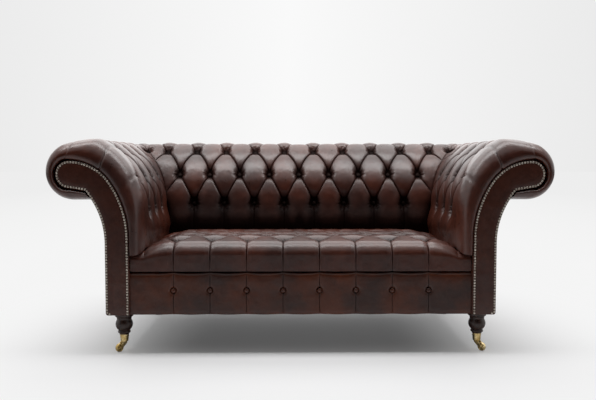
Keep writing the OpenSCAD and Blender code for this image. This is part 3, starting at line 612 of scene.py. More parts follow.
def finish_pad(name, points, numbers, lean, inner, marks, material):
    """Closes a wall's skin: inner strip, mitre ends, foot and the edge under the roll.

    The back ends in a mitre on both sides, and an arm starts at its facing, on the inner strip itself."""
    rows = numbers.shape[1]
    inner_numbers = len(points) + np.arange(len(inner) * rows).reshape(len(inner), rows)
    points = np.concatenate([points, *inner])
    mitres = [-1, 0] if name == "back" else [-1]
    if name != "back":
        inner_numbers = np.concatenate([numbers[:1], inner_numbers])
    faces = [grid_faces(numbers, lean), grid_faces(inner_numbers)]
    faces += [grid_faces(np.stack([numbers[end], inner_numbers[end]])) for end in mitres]
    for row in (0, rows - 1):
        outer = list(dict.fromkeys(numbers[:, row].tolist()))
        back = [n for n in inner_numbers[::-1, row].tolist() if n not in outer]
        faces.append(np.array([outer + back]))
    marks = {mark: np.concatenate([v.ravel(), np.zeros(len(points) - v.size)]) for mark, v in marks.items()}
    return make_piece(f"{name}_leather", points, faces, material, f"{name}_pad",
                      flat=range(1, len(faces)), fill=SOFT, **marks)


def back_pad(material):
    s, j = wall_rows(BACK_WALL)
    u, z, nu, nz = section(s)
    reaches = reach(u)
    widest = math.ceil(float(reaches.max()) / step_t) + 1
    i = np.arange(-widest, widest + 1)[:, None]
    t = np.sign(i) * arched(np.abs(i) * step_t, s / ROW)
    depth, marks = buttoned_depth(i, t, s, j, 0, reaches)
    side = np.where(t < 0, -1, 1)
    run = np.minimum(np.abs(t), reaches)
    ud, zd, td = carried(run, reaches, u, z, nu, nz, depth)
    x, y = plan(td, ud)
    points = xyz(side * x, y, zd).reshape(-1, 3)
    last = (np.abs(t) >= reaches)[widest:].argmax(axis=0)[None, :]
    numbers = (np.clip(i, -last, last) + widest) * s.size + np.arange(s.size)
    right = inner_columns(["mitre", "straight"], s[0], BACK_WALL)
    left = [column * [-1, 1, 1] for column in right]
    inner = [left[0], left[1], right[1], right[0]]
    # painted shade over the foot of the back, carried in the depth mark
    marks["depth"] = depth + FOOT_PAINTED_SHADE * unit((s - FOOT_PAINTED_SHADE_S[0]) / (FOOT_PAINTED_SHADE_S[1] - FOOT_PAINTED_SHADE_S[0]))
    return finish_pad("back", points, numbers, leaning(i, j), inner, marks, material)


def arm_pad(side, material):
    """Half of a back whose columns go on past the front: round the border's edge and in to the facing.

    phi is the angle of that turn, 0 on the arm itself, half pi on the crest of the border."""
    s, j = wall_rows(ARM_WALL)
    u, z, nu, nz = section(s)
    reaches = reach(u)
    start = inner_x + front_y + WRAP_R - inner_y
    first = math.ceil(start / step_t + SPARE)
    widest = math.ceil(float(reaches.max()) / step_t) + 1
    phi = np.concatenate([np.linspace(math.pi, 0, WRAP_STEPS + 1), np.zeros(widest - first + 1)])[:, None]
    i = np.arange(first - WRAP_STEPS - 1, widest + 1)[:, None]
    t = np.where(i < first, start + (i + 1 - first) * step_t, arched(np.maximum(i, 0) * step_t, s / ROW))
    depth, marks = buttoned_depth(i, t, s, j, FIRST_COLUMN, reaches)
    for row, (strength, length) in PLEATS.items():
        away = np.abs(s - row * ROW)
        ahead = button_columns(row, FIRST_COLUMN * step_t - 1)[0] - t
        fading = np.exp(-(np.maximum(ahead - PLEAT_START[1], 0) / length) ** 2)
        before = strength * unit(ahead / PLEAT_START[0]) * fading
        depth = depth + PLEAT_DEPTH * before * np.exp(-away / PLEAT_W)
        marks["crease"] = np.maximum(marks["crease"], before * np.exp(-away / PLEAT_LINE))
    run = np.minimum(np.where(i < first, start, t), reaches)
    proud = BORDER_SWELL * unit(nu + 0.5) * np.exp(-(np.maximum(t - start, 0) / SWELL_RUN) ** 2)
    ud, zd, td = carried(run, reaches, u, z, nu, nz, depth * np.cos(phi) - proud)
    lu, lz = facing_line(s, ARM_WALL)
    over = WRAP_CREST - np.where(phi <= math.pi / 2, WRAP_CREST, 1 - WRAP_CREST) * np.cos(phi)
    ud, zd = ud + over * (lu - u), zd + over * (lz - z)
    radius = np.where(phi <= math.pi / 2, WRAP_R, RECESS + TUCK)
    td = td + (radius * (1 - np.sin(phi)) - WRAP_R) * (phi > 0) + depth * np.sin(phi)
    x, y = across(*plan(td, ud))
    zd = zd + foot_lift(np.maximum(ud, 0)) * unit(1 - (zd - foot_z) / FOOT_FADE)
    points = xyz(side * x, y, zd).reshape(-1, 3)
    last = (t >= reaches).argmax(axis=0)[None, :]
    numbers = np.minimum(np.arange(len(i))[:, None], last) * s.size + np.arange(s.size)
    inner = []
    for column in inner_columns(["straight", "mitre"], s[0], ARM_WALL):
        cx, cy = across(column[:, 0], column[:, 1])
        inner.append(xyz(side * cx, cy, column[:, 2]))
    marks["depth"] = depth
    return finish_pad(f"{hand(side)}_arm", points, numbers, leaning(i, j), inner, marks, material)


# %% [markdown]
# ## The seat
#
# The seat is one buttoned pad, crowned in the middle and falling towards the arms, with a rolled front
# edge that runs down to the border. It is a grid too: w is the distance over the leather from its
# first row of buttons, backwards over the top and down over the front, and the seams of the front lie
# on the columns of that first row. Its hidden edges run on under the arms and the back.

# %% Seat
SEAT_EDGE_R = 55
SEAT_ROW_Y = 140            # from the arm fronts to the first row
SEAT_ROWS = 3
SEAM_X = 4 * PITCH          # the outermost buttons and seams are within this
SEAT_BUTTON_DEPTH = 24
SEAT_FOLD = 10
SEAM_FOLD = 6               # of the seams down the front
SEAM_FOOT = (60, 0.4)       # which are shallower at the foot: over this distance, down to this share
SEAT_FUNNEL = 34
SEAT_PIT_R = 24
SEAT_SLIT_CLEAR = 12
SEAT_ROUND = (20, 8)        # width and drop of the rounding beside the arms
DOME_X = 440                # the seat falls from here to the arms
DOME_POWER = 2.2
AT_ARM = {59: 28, 210: 36, 487: 32}     # distance behind the arm fronts: fall beside the arms
AT_BACK = (230, 22)         # distance over which it falls to the back, and how far
AT_FRONT = (50, 110, 10)    # where it starts behind the first row, run and fall to the front
CLEAR = 0.3                 # kept from arms and back, as by the outside arms from the outside back
LEDGE = 0.6                 # the hidden edges run this far below their feet
seat_low, seat_high = corners("seat_pad")
seat_crown = seat_high[2]
row0_y = front_y + SEAT_ROW_Y
seat_edge = inner_x - CLEAR


def dome_fall(x, y):
    """How far the seat's top falls below its crown at x, y: most by the arms, and to the back and front."""
    side = np.interp(y, front_y + np.array(list(AT_ARM)), list(AT_ARM.values()))
    side = side * unit((np.abs(x) - DOME_X) / (seat_edge - DOME_X)) ** DOME_POWER
    run, fall = AT_BACK
    back = fall * unit((y - (inner_y - run)) / run) ** 2
    behind, run, fall = AT_FRONT
    return side + back + fall * unit((row0_y + behind - y) / run)


def seat_columns(row):
    t = columns_of(row)
    return t[np.abs(t) <= SEAM_X + 1]


def seat_pad(material):
    step_w = PITCH / 2 / STEPS
    front = seat_low[1]
    w_arc = front + SEAT_EDGE_R - row0_y
    w_face = w_arc - SEAT_EDGE_R * math.pi / 2
    w_foot = w_face - (seat_crown - SEAT_EDGE_R - seat_low[2])
    w_back = inner_y - CLEAR - row0_y
    w, j = rows_between(w_foot, w_back, step_w)
    top, roll = w > w_arc, w > w_face
    angle = math.pi / 2 + np.clip((w_arc - w) / SEAT_EDGE_R, 0, math.pi / 2)
    ny, nz = np.cos(angle), np.sin(angle)
    y = np.where(top, row0_y + w, front + SEAT_EDGE_R * (1 + ny))
    z = seat_crown - SEAT_EDGE_R * (1 - nz) - np.where(roll, 0, w_face - w)
    n = math.floor(seat_edge / step_t - SPARE)
    i = np.arange(-n, n + 1)[:, None]
    t, jj = i * step_t, j[None, :]
    seam = ((i - STEPS) % (2 * STEPS) == 0) & (np.abs(t) < SEAM_X)
    fold = np.where(jj >= 0, on_lattice(i, jj) & (jj <= 2 * SEAT_ROWS * STEPS), seam)
    spots = [(c, row * PITCH) for row in range(SEAT_ROWS) for c in seat_columns(row)]
    along, up = from_nearest(t, w[None, :], spots)
    r = np.hypot(along, up)
    pit = r < PIT_EDGE
    foot_run, foot_share = SEAM_FOOT
    line = np.where(jj < 0, SEAM_FOLD * np.clip((w - w_foot) / foot_run, foot_share, 1), SEAT_FOLD) + 0 * t
    line = line + (SEAT_BUTTON_DEPTH + UNDER_RIM - line) * by_button(r, SEAT_FUNNEL)
    rows = (j > 0) & (j < 2 * (SEAT_ROWS - 1) * STEPS)
    depth, slit = stuffed(line, fold, fold | pit, r, rows, SEAT_PIT_R, SEAT_SLIT_CLEAR, 200, ds=step_w)
    rise = unit((z - seat_low[2]) / (seat_crown - seat_low[2]))
    run, drop = SEAT_ROUND
    edge_round = drop * rounding((np.abs(t) - seat_edge + run) / run)
    ys = y - ny * depth
    zs = z - nz * depth - (dome_fall(t, y[None, :]) + edge_round) * rise
    ledge_z = foot_z - LEDGE
    skin = xyz(t, ys, zs)

    def moved(line, axis, to, cap):
        """A line of points with one coordinate set, none of them higher than cap."""
        line = line.copy()
        line[:, axis] = to
        line[:, 2] = np.minimum(line[:, 2], cap)
        return line

    out = np.linspace(0, FOOT_ROUND, 7)
    steps = [*zip(seat_edge + out, ledge_z + foot_lift(out)),
             (seat_high[0], ledge_z), (seat_high[0], seat_low[2])]
    left = [moved(skin[0], 0, -x, cap)[None] for x, cap in steps[::-1]]
    right = [moved(skin[-1], 0, x, cap)[None] for x, cap in steps]
    grid = np.concatenate([*left, skin, *right])
    steps_back = ((inner_y - CLEAR, ledge_z), (seat_high[1], ledge_z), (seat_high[1], seat_low[2]))
    behind = [moved(grid[:, -1], 1, y_to, cap)[:, None] for y_to, cap in steps_back]
    grid = np.concatenate([grid, *behind], axis=1)
    own = slice(len(steps), -len(steps)), slice(0, -len(behind))
    numbers = numbered(grid)
    lean = framed(leaning(i, jj), grid[1:, 1:], own) > 0
    marks = {"depth": depth, **button_marks(along, up, slit)}
    marks = {mark: framed(values, grid, own) for mark, values in marks.items()}
    return make_piece("seat_leather", grid, [grid_faces(numbers, lean), outline(numbers)], material,
                      "seat_pad", flat=[1], fill=SOFT, **marks)


# %% [markdown]
# ## The front border
#
# Below the seat a band of leather is padded lightly and sewn in panels. A button pulls each seam in
# and the band's rolled top edge dips between them.

# %% Front border
BORDER_BUTTON_Z = 239
BORDER_BUTTON_DEPTH = 6.5
BORDER_PIT = (3.2, 1.4)     # width and steepness of the pits
BORDER_DRAG = (38, 1.5)     # the button draws in the leather round it: width and depth
BORDER_PIT_DEPTH = BORDER_BUTTON_DEPTH + 1.42       # a little under the buttons' rims
BORDER_PUFF = (3.4, 20)     # height of the padding, and how far from a seam it rises
BORDER_SEAM = (3.2, 2.4)    # depth and width of the seams, which fade at the edges
BORDER_EDGE = (14, 0.15)        # over this distance; at the top edge this share of them is left
BORDER_LINE = 3             # width of their dark line
BORDER_ROLL = 11            # radius of the band's top edge
BORDER_FOOT_R = 6
BORDER_WAVE = 1.2           # the edges dip this much to both sides of their middle height
BORDER_FOOT_WAVE = 0.8      # share of that at the foot
BORDER_WAVE_H = 50          # the waves are gone this far from the edges
BORDER_TUCK = (40, 3)       # height of the part that leans back under the seat, and how far
BORDER_SHADE = 0.4          # its pits are shallow, and darken less than their depth says


def front_border(material):
    low, high = corners("front_border")
    n = math.floor(high[0] / step_t - 0.2)
    t = np.concatenate([[low[0]], np.arange(-n, n + 1) * step_t, [high[0]]])[:, None]
    over_top = np.linspace(0, math.pi / 2, 7)[1:]
    under = np.linspace(-math.pi / 2, 0, 5)[:-1]
    mid = np.linspace(low[2] + BORDER_FOOT_R, high[2] - BORDER_ROLL, 36)
    z = np.concatenate([low[2] + BORDER_FOOT_R * (1 + np.sin(under)), mid,
                        high[2] - BORDER_ROLL * (1 - np.sin(over_top))])
    y = low[1] + np.concatenate([BORDER_FOOT_R * (1 - np.cos(under)), 0 * mid,
                                 BORDER_ROLL * (1 - np.cos(over_top))])
    place = t / PITCH - 0.5
    inside = np.abs(t) < SEAM_X
    seam = np.where(inside, np.abs(place - np.round(place)) * PITCH, FAR)
    button_x = (np.round(place) + 0.5) * PITCH
    r = np.hypot(t - button_x, z[None, :] - BORDER_BUTTON_Z)
    r = np.where(np.abs(button_x) < SEAM_X, r, FAR)
    run, left = BORDER_EDGE
    edge = unit((z - low[2]) / run) * np.clip((high[2] - z) / run, left, 1)
    puff = -BORDER_PUFF[0] * (1 - np.exp(-seam / BORDER_PUFF[1]))
    pinch = BORDER_SEAM[0] * np.exp(-seam / BORDER_SEAM[1])
    pit = BORDER_PIT_DEPTH * by_button(r, *BORDER_PIT)
    drag = BORDER_DRAG[1] * np.exp(-(r / BORDER_DRAG[0]) ** 2)
    tuck_h, tuck = BORDER_TUCK
    depth = (puff + pinch) * edge + pit + drag + tuck * unit((z - high[2] + tuck_h) / tuck_h) ** 2
    wave = BORDER_WAVE * np.cos(2 * math.pi * place) * inside
    at_top, at_foot = (unit(1 - away / BORDER_WAVE_H) for away in (high[2] - z, z - low[2]))
    zz = np.minimum(z + (wave - BORDER_WAVE) * (at_top + BORDER_FOOT_WAVE * at_foot), high[2])
    grid = np.concatenate([xyz(t, y + depth, zz), xyz(t, high[1], high[2]), xyz(t, high[1], low[2])], axis=1)
    own = np.s_[:, :-2]
    return make_piece("front_border_leather", grid, tube(grid), material, "front_border",
                      flat=[1, 2], fill=SOFT,
                      depth=framed(BORDER_SHADE * np.maximum(depth, 0), grid, own),
                      crease=framed(np.exp(-seam / BORDER_LINE) * edge, grid, own))


# %% [markdown]
# ## Buttons, nails and turned shapes
#
# A covered button is a shallow dome of leather over a metal cap, and an upholstery nail is a small
# domed head. Both could be spheres cut flat, but a profile turned round an axis gives the true rim
# with a few dozen faces, which matters for a shape that is repeated hundreds of times. One piece
# holds all the copies that the frame counts as one part.

# %% Turned shapes and copies
def lathe(profile, segments):
    """A profile of r, z pairs from the foot up, turned round +Z: quads between rings, and two end faces."""
    r, z = np.array(profile, float).T[:, :, None]
    turn = np.arange(segments) * 2 * math.pi / segments
    points = xyz(r * np.cos(turn), r * np.sin(turn), z)
    ring = round_about(numbered(points))
    quads = np.stack([ring[:-1, :-1], ring[:-1, 1:], ring[1:, 1:], ring[1:, :-1]], -1).reshape(-1, 4)
    return points.reshape(-1, 3), quads, np.stack([ring[0, -2::-1], ring[-1, :-1]])


def copies(shape, origins, out):
    """One shape at each origin, with its +Z along out and its +X level."""
    points, *blocks = shape
    origins = np.asarray(origins, float)
    out = np.broadcast_to(np.asarray(out, float), origins.shape)
    out = out / np.linalg.norm(out, axis=1)[:, None]
    level = xyz(-out[:, 1], out[:, 0], 0.0)
    steep = np.linalg.norm(level, axis=1) < 1e-6
    level[steep] = [1, 0, 0]
    level = level / np.linalg.norm(level, axis=1)[:, None]
    axes = np.stack([level, np.cross(out, level), out], 1)
    placed = origins[:, None] + np.einsum("pk,nkc->npc", points, axes)
    shift = np.arange(len(origins))[:, None, None] * len(points)
    return placed.reshape(-1, 3), [(block + shift).reshape(-1, block.shape[1]) for block in blocks]


DOME = ((1, 0), (1, 1.2), (0.94, 3.2), (0.78, 5), (0.51, 6.4), (0.2, 6.95))   # share of the radius, height
BUTTON = lathe([(BUTTON_R * share, z) for share, z in DOME], 16)
print("a button has", len(BUTTON[1]) + 2, "faces")


# %% Where the buttons sit
def mirrored_x(places):
    return np.concatenate([places, places * [-1, 1, 1]])


def wall_buttons(first):
    """Distance t, point u, z and direction out for every button of a wall from first on, row by row."""
    rows = [(t, row * ROW) for row in range(TOP + 1) for t in button_columns(row, first)]
    t, s = np.array(rows).T
    return t, *section(s)


def back_button_places():
    """The right half, the corner's button, which faces along the mitre, and their mirror images."""
    t, u, z, nu, nz = wall_buttons(0)
    origins, out = xyz(t, inner_y + u, z), xyz(0.0, nu, nz)
    corner_t, corner_s = corner_button()
    cu, cz, cnu, cnz = (float(v) for v in section(corner_s))
    x, y = (float(v) for v in plan(corner_t, cu))
    stretch = math.hypot(x - inner_x, y - inner_y) / cu
    tilt = math.atan2(stretch * cnz, cnu)
    level = math.cos(tilt) / math.sqrt(2)
    origins = np.concatenate([origins, [[x, y, cz]]])
    out = np.concatenate([out, [[level, level, math.sin(tilt)]]])
    both = mirrored_x(origins), mirrored_x(out)
    keep = np.concatenate([np.ones(len(origins), bool), origins[:, 0] > 1])
    return both[0][keep] - BUTTON_DEPTH * both[1][keep], both[1][keep]


def arm_button_places(side):
    t, u, z, nu, nz = wall_buttons(FIRST_COLUMN * step_t - 1)
    out = xyz(side * nu, 0.0, nz)
    return xyz(side * (inner_x + u), inner_y - inner_x + t, z) - BUTTON_DEPTH * out, out


def seat_button_places():
    spots = np.array([(x, row0_y + row * PITCH) for row in range(SEAT_ROWS) for x in seat_columns(row)])
    x, y = spots.T
    return xyz(x, y, seat_crown - dome_fall(x, y) - SEAT_BUTTON_DEPTH), [0, 0, 1]


def border_button_places():
    y = corners("front_border")[0][1] + BORDER_BUTTON_DEPTH
    return xyz(seat_columns(0), y, BORDER_BUTTON_Z), [0, -1, 0]


def buttons(name, places, material):
    points, blocks = copies(BUTTON, *places)
    return make_piece(f"{name}_covered", points, blocks, material, name, flat=[2], welded=False)


# %% [markdown]
# ## The nailed facings
#
# The front of each arm is closed by a panel of thin leather over a board, sewn or blind tacked and
# finished with a row of close nails. The panel is the facing line taken inwards in rings, each a
# little further forward, so it has a soft edge and a slight crown. The nails stand on one more ring.

# %% Facings and nails
# Inset of each ring, and how far it lies in front of the board.
FACING_RINGS = [(28, 13.2), (20, 12.6), (12, 11.4), (6.5, 10.2), (3, 9.2), (1, 7.6), (0, 5)]
NAIL_Y = 10.1           # the nails' rims lie this far in front of it
FACING_CORNER = 9       # rounding of the outside foot
NAIL_INSET = 6.5
NAIL_PITCH = 10.4
NAIL = lathe([(4.75, 0), (4.5, 0.7), (3.5, 1.7), (1.6, 2.5)], 12)
facing_low, facing_high = corners("right_arm_facing")
facing_y, facing_back, base_z = facing_low[1], facing_high[1], facing_low[2]


def facing_edge(inset):
    """The facing's edge taken in by inset: u, z from the foot of the inner side to the outside foot."""
    low, under_z = base_z + inset, end_c[1] - FACING_END_R + inset
    flare_z = crest_z - ARM_WALL[1]
    parts = [np.stack([np.full(16, PAD_T + inset), np.linspace(low, edge_c[1], 16, endpoint=False)], -1)]
    for (middle, radius, a, b), n in zip(facing_arcs, (28, 12, 18)):
        angle = np.linspace(a, b, n, endpoint=False)
        parts.append(middle + (radius - inset) * np.stack([np.cos(angle), np.sin(angle)], -1))
    start_u = wall_u(ARM_WALL, under_z - UNDER_DROP, inset)
    parts.append(np.linspace([end_c[0], under_z], [start_u, under_z - UNDER_DROP], 8, endpoint=False))
    z = np.concatenate([np.linspace(under_z - UNDER_DROP, flare_z, 24, endpoint=False),
                        np.linspace(flare_z, low + FACING_CORNER, 14, endpoint=False),
                        low + FACING_CORNER * (1 - np.sin(np.linspace(0, math.pi / 2, 6)))])
    corner = FACING_CORNER * rounding((low + FACING_CORNER - z) / FACING_CORNER)
    parts.append(np.stack([wall_u(ARM_WALL, z, inset) - corner, z], -1))
    return np.concatenate(parts)


def on_arm(side, u, z, y):
    return xyz(side * (inner_x + u), y, z)


def facing(side, material):
    rings = [(inset, facing_y - forward) for inset, forward in FACING_RINGS] + [(0, facing_back)]
    grid = np.stack([on_arm(side, *facing_edge(inset).T, y) for inset, y in rings])
    name = f"{hand(side)}_arm_facing"
    return make_piece(f"{name}_leather", grid, tube(grid), material, name, flat=[2])


def nails(side, material):
    edge = facing_edge(NAIL_INSET)
    run = np.concatenate([[0], np.cumsum(np.hypot(*np.diff(edge, axis=0).T))])
    at = np.linspace(0, run[-1], math.floor(run[-1] / NAIL_PITCH) + 1)
    u, z = np.interp(at, run, edge[:, 0]), np.interp(at, run, edge[:, 1])
    points, blocks = copies(NAIL, on_arm(side, u, z, facing_y - NAIL_Y), [0, -1, 0])
    rim = np.tile(np.hypot(*NAIL[0][:, :2].T) / NAIL[0][:, 0].max(), len(at))
    name = f"{hand(side)}_facing_nails"
    print(f"{name}: {len(at)} nails")
    return make_piece(f"{name}_domed", points, blocks, material, name, flat=[1], slot="nail_brass",
                      welded=False, rim=rim)


# %% [markdown]
# ## Outside panels and dust cover
#
# The outsides of the arms and the back are flat leather, pulled tight over hessian, with the back
# sewn together from three widths. Under the frame a black non-woven cloth is stapled to the rails.
# Each is a grid over the height and the length of its wall, given its thickness by a second grid.

# %% Outside panels
COVER_T = 6
PANEL_PUFF = 2.5
PANEL_EDGE = (0.12, 0.2)        # shares of length and height over which it rises
PANEL_SEAM = (1.8, 1.6)         # depth and width of the machine seams
PANEL_THIRDS = 0.6              # share of the rise that each width of the back has for itself
BY_SEAM = (-8, -4, -2, 0, 2, 4, 8)      # the grid is finer beside the seams
PANEL_GRID = (61, 81, 41)       # points over the length of an arm, of the back, and over the height


def shell(outer, inner):
    """Closes two grids of one shape into a skin: outer side, inner side and the strip round their edge."""
    numbers = numbered(outer)
    rim = round_about(outline(numbers)[None])[0]
    return np.concatenate([outer, inner]), [grid_faces(numbers), grid_faces(numbers + numbers.size)[:, ::-1],
                                            grid_faces(np.stack([rim, rim + numbers.size]))]


def puffed(along, up):
    """Height of a panel's puff at shares along and up of its sides: full inside, none at the edges."""
    rise = unit(np.minimum(along, 1 - along) / PANEL_EDGE[0]) * unit(np.minimum(up, 1 - up) / PANEL_EDGE[1])
    return PANEL_PUFF * np.sin(math.pi / 2 * rise)


def outside_arm(side, material):
    name = f"{hand(side)}_outside_arm"
    low, high = corners(name)
    length, _, height = PANEL_GRID
    along, up = np.linspace(0, 1, length)[:, None], np.linspace(0, 1, height)[None, :]
    z = np.linspace(low[2], high[2], height)[None, :]
    y_end = inner_y + wall_u(BACK_WALL, z, COVER_T + CLEAR)
    y = low[1] + along * (y_end - low[1])
    points, faces = shell(*(on_arm(side, u, z, y)
                            for u in (wall_u(ARM_WALL, z) + puffed(along, up), wall_u(ARM_WALL, z, COVER_T))))
    return make_piece(f"{name}_leather", points, faces, material, name)


def outside_back(material):
    low, high = corners("outside_back")
    _, length, height = PANEL_GRID
    up = np.linspace(0, 1, height)[None, :]
    z = low[2] + up * (high[2] - low[2])
    near = 1 / 3 + np.array(BY_SEAM) / high[0]
    across_back = np.unique(np.concatenate([np.linspace(-1, 1, length), near, -near]))[:, None]
    x = across_back * (inner_x + wall_u(ARM_WALL, z))
    seam = np.exp(-np.abs(np.abs(across_back) - 1 / 3) * high[0] / PANEL_SEAM[1])
    in_third = (across_back * 1.5 + 1.5) % 1
    puff = 1 - PANEL_THIRDS + PANEL_THIRDS * np.sqrt(np.sin(math.pi * in_third))
    puff = puff * puffed((across_back + 1) / 2, up)
    y_wall = inner_y + wall_u(BACK_WALL, z) + puff - PANEL_SEAM[0] * seam
    inner = inner_y + wall_u(BACK_WALL, z, COVER_T)
    points, faces = shell(*(xyz(x, y, z) for y in (y_wall, inner)))
    crease = np.concatenate([(seam + 0 * x).ravel(), np.zeros(x.size)])
    return make_piece("outside_back_leather", points, faces, material, "outside_back",
                      crease=crease, depth=0 * crease)


# %% Dust cover
DUST_SAG = 4            # of the cloth between the rails, in the middle of the sofa
DUST_RIPPLE = 0.6
DUST_T = 0.8
DUST_GAP = 0.2          # between the cloth and the rails
DUST_GRID = (65, 33)
DUST_FREE = ((0.86, 0.5), (0.8, 0.8))   # start and run of the sag, as shares of half its length and width


def dust_cover(material):
    low, high = corners("dust_cover")
    along, over = np.meshgrid(*(np.linspace(-1, 1, n) for n in DUST_GRID), indexing="ij")
    x, y = along * high[0], (low[1] + high[1]) / 2 + over * (high[1] - low[1]) / 2
    free = math.prod(unit((start - np.abs(way)) / run) for way, (start, run) in zip((along, over), DUST_FREE))
    ripple = DUST_RIPPLE * np.sin(along * 31) * np.sin(over * 9)
    z = high[2] - DUST_GAP - (DUST_SAG + ripple) * np.sin(math.pi / 2 * free) ** 2
    points, faces = shell(*(xyz(x, y, z - t) for t in (DUST_T, 0)))
    cloth = make_piece("dust_cover_cloth", points, faces, material, "dust_cover", slot="dust_cloth")
    return cloth


# %% [markdown]
# ## Legs and castors
#
# The front legs are turned from beech and stained almost black: a flange under the rail, a cove, a
# ball and a small bead over the brass cup. The frame's own legs are true in size but cut in coarse
# steps, so each is turned again here from a smooth profile.

# %% Front legs
LEG_PROFILE = [         # radius and height over the floor
    (14.5, 44), (14.9, 65), (18, 65.2), (18.6, 68.5), (20.5, 70), (23, 71.2), (24, 73.6), (24, 75.6),
    (23, 78), (21.4, 79.6), (22.6, 82), (25.8, 85.5), (28.9, 90), (31.2, 95.5), (32.4, 101.5), (32.4, 107),
    (31.2, 112.5), (29.4, 117), (27.9, 120.5), (27.3, 123.5), (27.6, 127), (28.8, 130.5), (31, 133),
    (33.4, 134.4), (34.5, 136.4), (34.5, 148.9),
]


def smooth_profile(profile, steps):
    """Points of a curve through the profile's, by a cubic between neighbours, with steps to each stretch."""
    p = np.array(profile, float)
    before, after = np.concatenate([p[:1], p[:-1]]), np.concatenate([p[1:], p[-1:]])
    slope = (after - before) / 2
    f = (np.arange(steps) / steps)[:, None, None]
    a, b, m, n = p[:-1], p[1:], slope[:-1], slope[1:]
    curve = ((2 * f ** 3 - 3 * f ** 2 + 1) * a + (f ** 3 - 2 * f ** 2 + f) * m
             + (3 * f ** 2 - 2 * f ** 3) * b + (f ** 3 - f ** 2) * n)
    return np.concatenate([curve.transpose(1, 0, 2).reshape(-1, 2), p[-1:]])


def front_leg(side, material):
    name = f"front_{hand(side)}_leg"
    middle = sum(corners(name)) / 2
    points, *blocks = lathe(smooth_profile(LEG_PROFILE, 3), 48)
    points = points + middle * [1, 1, 0]
    return make_piece(f"{name}_turned", points, blocks, material, name, flat=[1], slot="leg_wood")


# %% [markdown]
# ## Adding nodes
#
# A material is a small graph. One function adds a node, sets what it is given and joins what is
# another node's output, so a finish below reads as a list of what it is made of.

# %% Colour and node helpers
def srgb(code):
    """The linear colour of an sRGB hex code."""
    parts = np.array([int(code[k:k + 2], 16) for k in (0, 2, 4)]) / 255
    linear = np.where(parts <= 0.04045, parts / 12.92, ((parts + 0.055) / 1.055) ** 2.4)
    return (*(float(v) for v in linear), 1.0)


def add(tree, kind, inputs=None, out=0, **settings):
    """Adds a node and returns its output called out. An input that is a socket is joined, others are set."""
    node = tree.nodes.new("ShaderNode" + kind)
    for name, value in settings.items():
        setattr(node, name, value)
    for name, value in (inputs or {}).items():
        if isinstance(value, bpy.types.NodeSocket):
            tree.links.new(value, node.inputs[name])
        else:
            node.inputs[name].default_value = value
    return node.outputs[out]


def finish(name, **sockets):
    """A new material with these values on its shader; returns it, its tree and its shader."""
    material = bpy.data.materials.new(name)
    material.use_nodes = True
    shader = material.node_tree.nodes["Principled BSDF"]
    for socket, value in sockets.items():
        shader.inputs[socket.replace("_", " ")].default_value = value
    return material, material.node_tree, shader


def blend(tree, share, a, b, how="MIX"):
    """Colour a where share is 0, b where it is 1."""
    return add(tree, "Mix", {0: share, 6: a, 7: b}, out=2, data_type="RGBA", blend_type=how)


def mark(tree, name):
    """One of the marks that a piece's points carry."""
    return add(tree, "Attribute", out="Fac", attribute_name=name)


def calc(tree, operation, *values, **settings):
    return add(tree, "Math", dict(enumerate(values)), operation=operation, **settings)


def remap(tree, value, low, high, to_low=0.0, to_high=1.0, **settings):
    """What lies between low and high, moved to lie between to_low and to_high, and held there."""
    return add(tree, "MapRange", {"Value": value, 1: low, 2: high, 3: to_low, 4: to_high}, **settings)


def noise(tree, at, scale, detail, **sockets):
    return add(tree, "TexNoise", {"Vector": at, "Scale": scale, "Detail": detail, **sockets})


def bumps(tree, *layers):
    """Bumps on one another, each a height, a strength and the distance that a height of 1 stands for."""
    under = {}
    for height, strength, distance in layers:
        normal = add(tree, "Bump", {"Height": height, "Strength": strength, "Distance": distance, **under})
        under = {"Normal": normal}
    return normal


def join(tree, shader, **sockets):
    """Joins outputs to the shader's inputs of these names, with _ for a space."""
    for socket, output in sockets.items():
        tree.links.new(output, shader.inputs[socket.replace("_", " ")])


def surface(tree, share, a, b):
    """Makes the material look like shader a where share is 0, and like b where it is 1."""
    both = add(tree, "MixShader", {0: share, 1: a, 2: b})
    tree.links.new(both, tree.nodes["Material Output"].inputs["Surface"])


# %% [markdown]
# ## Antique leather
#
# The hides are full-grain cattle hide, dyed dark, rubbed by hand and waxed. The rubbing leaves
# clouds of cooler and warmer brown a hand or two wide, and the wax a soft broken gloss. Folds and
# the pits round buttons are painted darker, partly as dye and dust that stay there and partly as
# painted shade. The grain is a net of cells about a millimetre wide, with finer creases across it.
# Depth and crease come from the leather's own height map, and so does the place by the nearest
# button, from which small gathers run out like rays.

# %% Leather
GRAIN_MM = 1.4          # width of a grain cell; real ones are finer and don't show from across a room
CREASE_MM = 9
CLOUD_MM = 170
MOTTLE = (42, 0.8, 1.16)        # scale of the finer spots, and what they do to the brown
PUCKERS = 7             # small gathers that run out from each button
PUCKER_M = 0.0013       # their height
PUCKER_STRAY = (60, 9)  # scale and size of what makes them crooked
MID = (0.3, 0.7)        # nearly all of a noise lies between these
# What grows with the depth in mm, or with the crease: from, to, and how much of it there is at both. Depth
# darkens the colour as dye and dust in the hollows and as painted shade; the crease darkens it as painted
# shade in folds, pleats and the mitre, and as dark seam lines.
DYE_AND_PAINTED_SHADE = (4, 24, 0, 0.92)
CREASE_PAINTED_SHADE = (0.6, 1, 0, 0.8)
MATT = (4, 20, 0, 0.25)
SHINE = (6, 24)         # the shine goes between these depths,
SHINE_LEFT = 0.08       # and this share of it is left


def puckers(tree, at):
    """Height of the gathers: gather * cos(PUCKERS * angle), where gather is 0 at a button and far from it."""
    along, up, gather = (mark(tree, name) for name in ("along", "up", "gather"))
    scale, size = PUCKER_STRAY
    stray = calc(tree, "MULTIPLY", noise(tree, at, scale, 1), size)
    turn = calc(tree, "MULTIPLY_ADD", calc(tree, "ARCTAN2", up, along), PUCKERS, stray)
    return calc(tree, "MULTIPLY", calc(tree, "COSINE", turn), gather)


